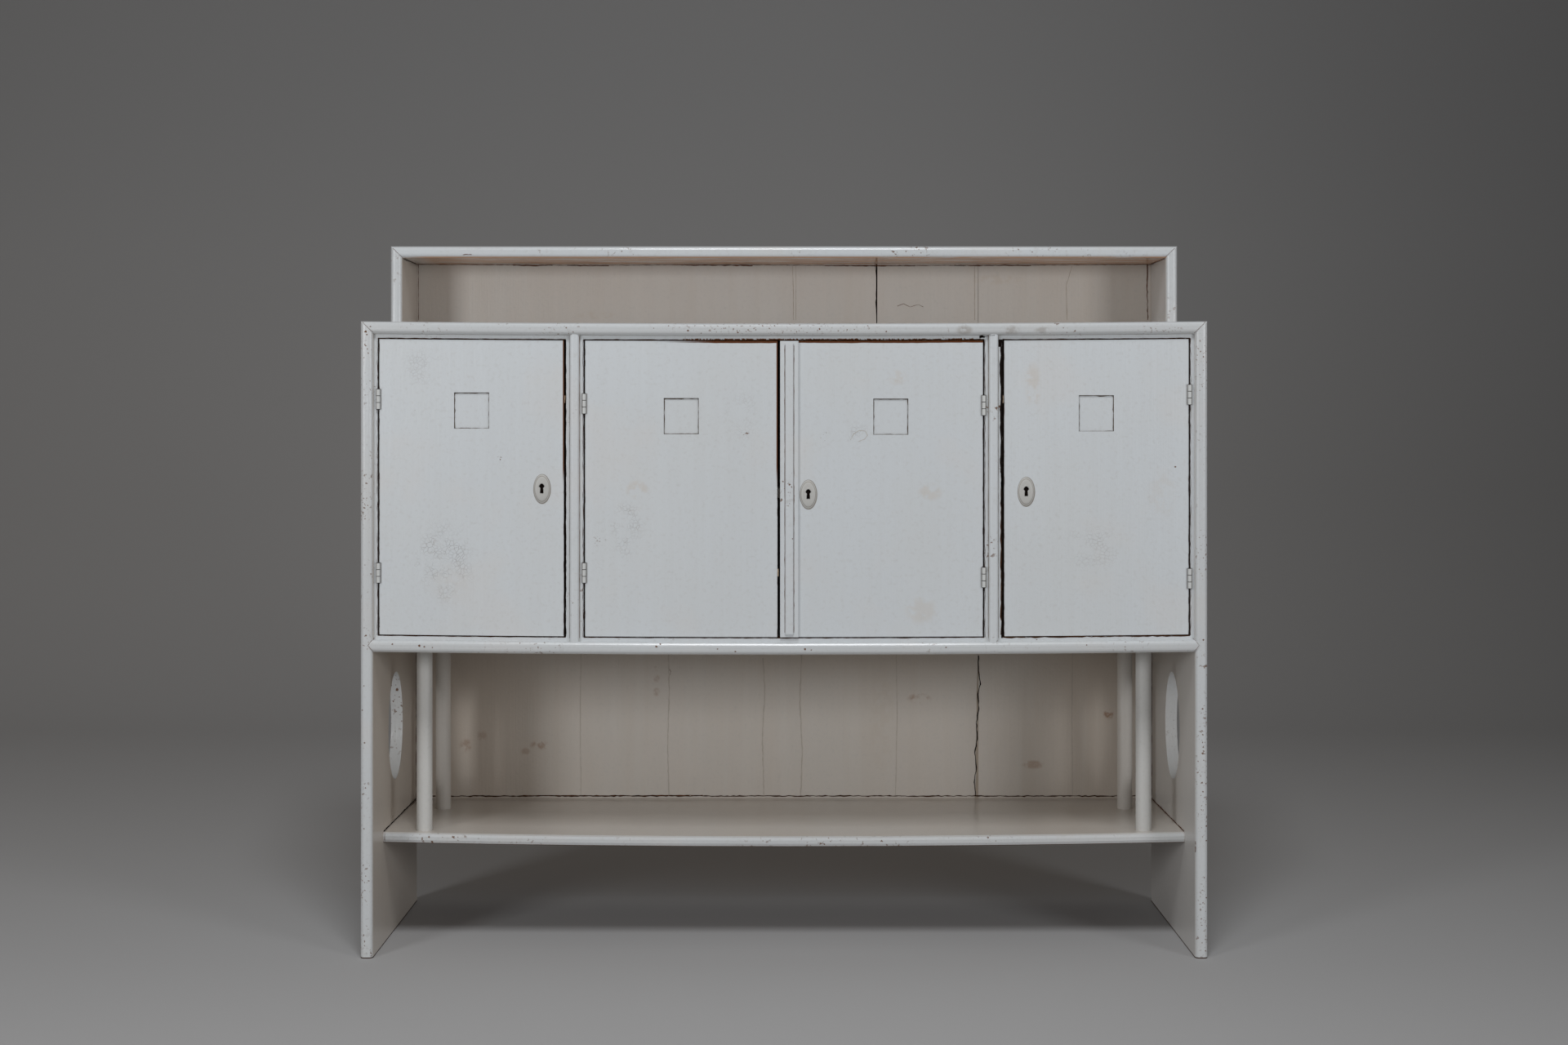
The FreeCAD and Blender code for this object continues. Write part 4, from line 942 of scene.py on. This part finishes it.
def joint_lines():
    for lines, body in ((JOINT_LINES, "root"), (BEAD_LINES, "inner_right_door")):
        for name, finish, width, square_to, ends in lines:
            corners = [Vector(end) / MM for end in ends]
            edges = uneven_line(corners, width, JOINT_WAVER, Vector(square_to))
            line_piece(name, *edges, finish, body, "aged_inner_paint")


# The openings between the strips, in millimetres: their left and right ends, which side is the latch, and
# the width of the line along the foot
OPENINGS = {
    "left": (-720.5, -387.5, "right", 1.5),
    "centre": (-355.5, 355.5, None, 1.5),
    "right": (387.5, 720.5, "left", 3.2),
}
# The widths of the dark lines round them, and how far outside an opening's edge each runs, so that the
# hinge leaves turn clear of it
HEAD_LINE = 1.6
HINGE_LINE = 1.4
LATCH_LINE = 2.2
LEVEL_ASIDE = 0.4
HINGE_ASIDE = 0.9
LATCH_ASIDE = 0.4
RIM_PROUD = 0.3
RIM_STEPS = 8


def level(x, z, sag):
    """The height in millimetres of a sagging line at x."""
    return z - sag * (1 - (x / HALF_WIDTH) ** 2)


def opening_rims(x0, x1, latch, foot_line):
    """Each side of an opening with its line's finish, width and corners, in millimetres."""
    y = FACE_Y * MM - RIM_PROUD
    head, foot = (HEAD_Z, HEAD_SAG), (FOOT_Z, FOOT_SAG)
    places = [x0 + (x1 - x0) * k / RIM_STEPS for k in range(RIM_STEPS + 1)]
    yield "head", "gap", HEAD_LINE, [(x, y, level(x, *head) + LEVEL_ASIDE) for x in places]
    yield "foot", "gap", foot_line, [(x, y, level(x, *foot) - LEVEL_ASIDE) for x in places]
    for side, x, outward in (("left", x0, -1), ("right", x1, 1)):
        finish, width, aside = "gap", HINGE_LINE, HINGE_ASIDE
        if side == latch:
            finish, width, aside = "dark", LATCH_LINE, LATCH_ASIDE
        yield side, finish, width, [(x + outward * aside, y, level(x, *end)) for end in (foot, head)]


def gap_rims():
    """The dark lines round each opening: the strips' worn brown edges, with painted shade of the gaps."""
    for name, opening in OPENINGS.items():
        for side, finish, width, corners in opening_rims(*opening):
            edges = uneven_line([Vector(c) / MM for c in corners], width, RIM_WAVER, INWARD)
            line_piece(f"rim_{name}_{side}", *edges, finish, "root", "white_paint")


# Each door's sunk square, and its painted shadow lines: a side, a width in millimetres, and which corners
# they join
SQUARE_SUNK = 0.003
SQUARE_Y = FACE_Y + SQUARE_SUNK
SQUARE_HIGH = 0.075
SQUARE_LINES = (
    ("head", 4.8, ((0, 1), (1, 1))),
    ("left", 3.6, ((0, 0), (0, 1))),
    ("right", 3.2, ((1, 0), (1, 1))),
    ("foot", 2.6, ((0, 0), (1, 0))),
)


def square_lines():
    """Painted shadow along the edges of each door's sunk square, widest under its head."""
    for door in DOORS:
        floor = [v.co for v in NODES[f"door_{door}"].data.vertices if abs(v.co.y - SQUARE_Y) < SKIN]
        head = max(v.z for v in floor)
        floor = [v for v in floor if v.z > head - SQUARE_HIGH]
        xs = min(v.x for v in floor), max(v.x for v in floor)
        zs = min(v.z for v in floor), max(v.z for v in floor)
        for side, width, corners in SQUARE_LINES:
            ends = [Vector((xs[i], SQUARE_Y - SKIN, zs[k])) for i, k in corners]
            edges = uneven_line(ends, width, SQUARE_WAVER, INWARD)
            line_piece(f"square_{door}_{side}", *edges, "line", f"{door}_door", "white_paint")


# Chips in the paint of each body, down to the brown undercoat: a place in the photograph's pixels and a
# size in millimetres
CHIP_SIDES = 7
CHIP_GROWTH = 1.35
CHIP_WIDE = 1.3
CHIP_RAGGED = (0.55, 1.25)
CASE_CHIPS = (
    (447, 406, 3.6), (448.5, 410, 2.0), (453, 400, 1.6), (800, 402, 1.5), (818, 399, 1.3),
    (842, 405, 2.2), (858, 408, 1.4), (903, 407, 2.0), (925, 404, 1.4), (948, 399, 1.6),
    (975, 406, 1.4), (1003, 403, 2.4), (1037, 404, 1.5), (1062, 399, 1.5), (1085, 406, 2.0),
    (480, 789, 2.2), (513, 791, 2.8), (519, 792, 2.0), (529, 793, 1.6), (636, 788, 1.5),
    (803, 792, 2.6), (808, 789, 1.8), (878, 795, 1.6), (900, 798, 1.8), (985, 795, 2.8),
    (993, 796, 1.8), (1158, 793, 2.0), (1266, 780, 2.6), (1270, 784, 1.6), (1330, 790, 1.6),
    (1473, 784, 2.2), (1472, 868, 2.2), (1475, 880, 1.5), (1473, 915, 1.8), (1476, 960, 1.8),
    (1477, 1012, 2.2), (1478, 1020, 1.8), (1477, 1030, 2.0), (1474, 1075, 1.8), (1477, 1100, 1.8),
    (1478, 1130, 2.4), (1476, 1165, 1.8), (443, 870, 1.6), (446, 910, 2.0), (447, 965, 1.8),
    (445, 1015, 1.8), (444, 1060, 1.6), (445, 840, 1.4), (1434, 345, 2.0), (690, 1026, 1.5),
    (1012, 1029, 2.0), (1120, 1030, 1.5), (1328, 1032, 2.0), (540, 1025, 1.6), (860, 1028, 1.4),
)
CHIPS = {
    "root": CASE_CHIPS,
    "outer_left_door": ((611, 563, 2.0),),
    "inner_right_door": ((958, 590, 1.8), (970, 660, 1.4)),
    "outer_right_door": ((1440, 572, 2.0),),
}


def chip_ring(px, py, size):
    """The points of one ragged chip that meet a board of the front."""
    centre = at_photo(px, py, NOSE_Y)
    ring = []
    for step in range(CHIP_SIDES):
        turn = 2 * math.pi * step / CHIP_SIDES
        reach = CHIP_GROWTH * size / 2 / MM * random.uniform(*CHIP_RAGGED)
        x, z = centre.x + CHIP_WIDE * reach * math.cos(turn), centre.z + reach * math.sin(turn)
        hit, _, _, _ = BOARDS.ray_cast(Vector((x, BEFORE_FRONT_Y, z)), INWARD)
        if hit is not None and hit.y < 0:
            ring.append(hit + LIFT)
    return ring


def paint_chips():
    """Small chips laid on the boards; one that would miss them is left out."""
    for body, chips in CHIPS.items():
        points, faces = [], []
        for chip in chips:
            ring = chip_ring(*chip)
            if len(ring) == CHIP_SIDES:
                faces.append(tuple(range(len(points), len(points) + CHIP_SIDES)))
                points += ring
        mesh_piece(f"paint_chips_{body}", points, faces, "chip", body)


def upright(x0, x1, z0, z1, y):
    """The corners of an upright rectangle."""
    return [(x0, y, z0), (x1, y, z0), (x1, y, z1), (x0, y, z1)]


# The split in the hutch's back, and how far inside it the dark strip sits
SPLIT_X = (0.1795, 0.1875)
SPLIT_Z = (1.100, 1.284)
SPLIT_IN = 0.010


def split_depth():
    """A dark sheet inside the split: painted shade, which also keeps light from showing through it."""
    corners = upright(*SPLIT_X, *SPLIT_Z, BACK_Y + SPLIT_IN)
    mesh_piece("split_depth", corners, [(0, 1, 2, 3)], "dark")


# The paint in the back's joints laps onto both boards; the filler of the open one sits deeper and reaches
# past its jagged edge
SEAM_LAP = 0.0001
SEAM_DEPTH = 0.00005
OPEN_JOINT = "back_board_7"
CRACK_IN = 0.001
CRACK_BITE = 0.008


def seams():
    """What fills the joints between the back's boards."""
    boards = sorted(name for name in NODES if name.startswith("back_board_"))
    points, faces = [], []
    for left, right in zip(boards, boards[1:]):
        low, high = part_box(left)
        x0, x1 = high.x - SEAM_LAP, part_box(right)[0].x + SEAM_LAP
        if left == OPEN_JOINT:
            corners = upright(x0 - CRACK_BITE, x1, low.z, high.z, BACK_Y + CRACK_IN)
            mesh_piece("open_joint", corners, [(0, 1, 2, 3)], "stain")
        else:
            faces.append(tuple(range(len(points), len(points) + 4)))
            points += upright(x0, x1, low.z, high.z, BACK_Y + SEAM_DEPTH)
    mesh_piece("seam_paint", points, faces, "filler")


# Dark rings where a hinge's knuckles meet, and dark lines beside its barrel
RING_SIDES = 20
RING_RADIUS = 0.0034
RING_HALF = 0.0005
KNUCKLE_HALF = 0.006
HINGE_HALF = 0.018
SHADOW_WIDTH = 0.0010


def door_hinges():
    """Each door's name, its hinge's axis, and the heights of all the points of its leaves."""
    for joint in frame["joints"]:
        if joint["name"].endswith("_hinge"):
            door = joint["child"].removesuffix("_door")
            heights = [v.co.z for v in NODES[f"hinge_leaves_{door}"].data.vertices]
            yield door, joint["pos_m"], heights


def hinge_lines():
    """The joints between the knuckles of every hinge."""
    turns = [2 * math.pi * side / RING_SIDES for side in range(RING_SIDES)]
    circle = [(RING_RADIUS * math.cos(turn), RING_RADIUS * math.sin(turn)) for turn in turns]
    points, faces = [], []
    for _, axis, heights in door_hinges():
        middle = (min(heights) + max(heights)) / 2
        for group in ([z for z in heights if z < middle], [z for z in heights if z > middle]):
            centre = (min(group) + max(group)) / 2
            for rise in (-HINGE_HALF, -KNUCKLE_HALF, KNUCKLE_HALF, HINGE_HALF):
                faces += band(len(points), RING_SIDES)
                for z in (centre + rise - RING_HALF, centre + rise + RING_HALF):
                    points += [(axis[0] + x, axis[1] + y, z) for x, y in circle]
    mesh_piece("hinge_joint_lines", points, faces, "dark")


def hinge_shadows():
    """The thin dark lines beside each barrel: the left one rides on the case, the right one on the door."""
    y = FACE_Y - SKIN
    for door, axis, heights in door_hinges():
        for body, side in (("root", -1), (f"{door}_door", 1)):
            points, faces = [], []
            inner = axis[0] + side * RING_RADIUS
            for centre in (min(heights) + HINGE_HALF, max(heights) - HINGE_HALF):
                start = len(points)
                for x in (inner, inner + side * SHADOW_WIDTH):
                    points += [(x, y, centre - HINGE_HALF), (x, y, centre + HINGE_HALF)]
                faces.append((start, start + 1, start + 3, start + 2))
            mesh_piece(f"hinge_shadow_{door}_{body}", points, faces, "line", body)


# The studio: a floor, the sweep that turns it up into the wall, and where painted shade darkens its grey up
# the wall and towards the right
FLOOR_REACH = 9.0
SWEEP_FROM = 2.6
SWEEP_RADIUS = 2.4
SWEEP_STEPS = 24
WALL_TOP = 7.0
SHADED_WALL_Z = (0.2, 3.0)
SHADED_RIGHT_X = (0.0, 4.0)
STUDIO_ROUGHNESS = 0.85


def studio():
    """A seamless floor that curves up into the wall."""
    profile = [(-FLOOR_REACH, 0.0), (SWEEP_FROM, 0.0)]
    for step in range(1, SWEEP_STEPS + 1):
        turn = math.pi / 2 * step / SWEEP_STEPS
        profile.append((SWEEP_FROM + SWEEP_RADIUS * math.sin(turn), SWEEP_RADIUS * (1 - math.cos(turn))))
    profile.append((SWEEP_FROM + SWEEP_RADIUS, WALL_TOP))
    points = [(side * FLOOR_REACH, y, z) for y, z in profile for side in (-1, 1)]
    faces = [(2 * k, 2 * k + 1, 2 * k + 3, 2 * k + 2) for k in range(len(profile) - 1)]
    paint = Paint("studio_grey", STUDIO_ROUGHNESS)
    colour = paint.mix(paint.ramp(paint.z, *SHADED_WALL_Z), FLOOR_GREY, SHADED_WALL_GREY)
    colour = paint.mix(paint.ramp(paint.x, *SHADED_RIGHT_X), colour, SHADED_RIGHT_GREY)
    floor = new_object("studio_floor", points, faces, paint.finish(colour), True)


# Lamps: place, aim, width, height, watts and colour
LAMPS = {
    "key_left": ((-2.60, -3.70, 1.42), (0.0, -0.2, 0.75), 0.9, 0.9, 42.5, (0.97, 0.985, 1.0)),
    "fill_right": ((3.00, -3.60, 1.42), (0.0, -0.2, 0.75), 1.1, 0.9, 39, (0.96, 0.98, 1.0)),
    "high_front": ((0.0, -2.90, 4.30), (0.0, -0.05, 0.2), 1.2, 1.2, 80, (0.97, 0.985, 1.0)),
}
# One spot lights the back from behind, and neither the floor nor anything that the photograph shows
REAR_PLACE = (0.0, 1.95, 0.92)
REAR_AIM = (0.0, 0.24, 0.92)
REAR_CONE = math.radians(48)
REAR_BLEND = 0.25
REAR_RADIUS = 0.12
REAR_WATTS = 17
AMBIENT = 0.135
AMBIENT_COLOUR = (1.0, 0.91, 0.82)


def hang_lamp(data, place, aim):
    """A lamp at its place, turned to its aim and out of the camera's sight."""
    lamp = bpy.data.objects.new(data.name, data)
    lamp.location = place
    lamp.rotation_euler = (Vector(aim) - Vector(place)).to_track_quat("-Z", "Y").to_euler()
    lamp.visible_camera = False
    bpy.context.scene.collection.objects.link(lamp)


def lights():
    for name, (place, aim, width, height, watts, colour) in LAMPS.items():
        data = bpy.data.lights.new(name, "AREA")
        data.shape = "RECTANGLE"
        data.size, data.size_y = width, height
        data.energy = watts
        data.color = colour
        hang_lamp(data, place, aim)
    data = bpy.data.lights.new("rear_spot", "SPOT")
    data.spot_size = REAR_CONE
    data.spot_blend = REAR_BLEND
    data.shadow_soft_size = REAR_RADIUS
    data.energy = REAR_WATTS
    hang_lamp(data, REAR_PLACE, REAR_AIM)
    world = bpy.data.worlds.new("studio")
    world.use_nodes = True
    background = world.node_tree.nodes["Background"]
    background.inputs["Color"].default_value = (*AMBIENT_COLOUR, 1)
    background.inputs["Strength"].default_value = AMBIENT
    bpy.context.scene.world = world


def camera():
    data = bpy.data.cameras.new("photo_camera")
    data.lens = LENS
    data.sensor_width = SENSOR
    data.shift_y = (HORIZON_PX - PHOTO_HEIGHT / 2) / PHOTO_WIDTH
    view = bpy.data.objects.new("photo_camera", data)
    view.location = (0, FRONT_Y - CAMERA_BACK, CAMERA_Z)
    view.rotation_euler = (math.pi / 2, 0, 0)
    bpy.context.scene.collection.objects.link(view)
    bpy.context.scene.camera = view


finish_nodes()
for locked in LOCKED_DOORS:
    key_plate(locked)
back_lines()
front_lines()
paint_chips()
door_lines()
seams()
split_depth()
hinge_lines()
hinge_shadows()
joint_lines()
gap_rims()
square_lines()
studio()
lights()
camera()
bpy.context.scene.view_settings.view_transform = "Standard"
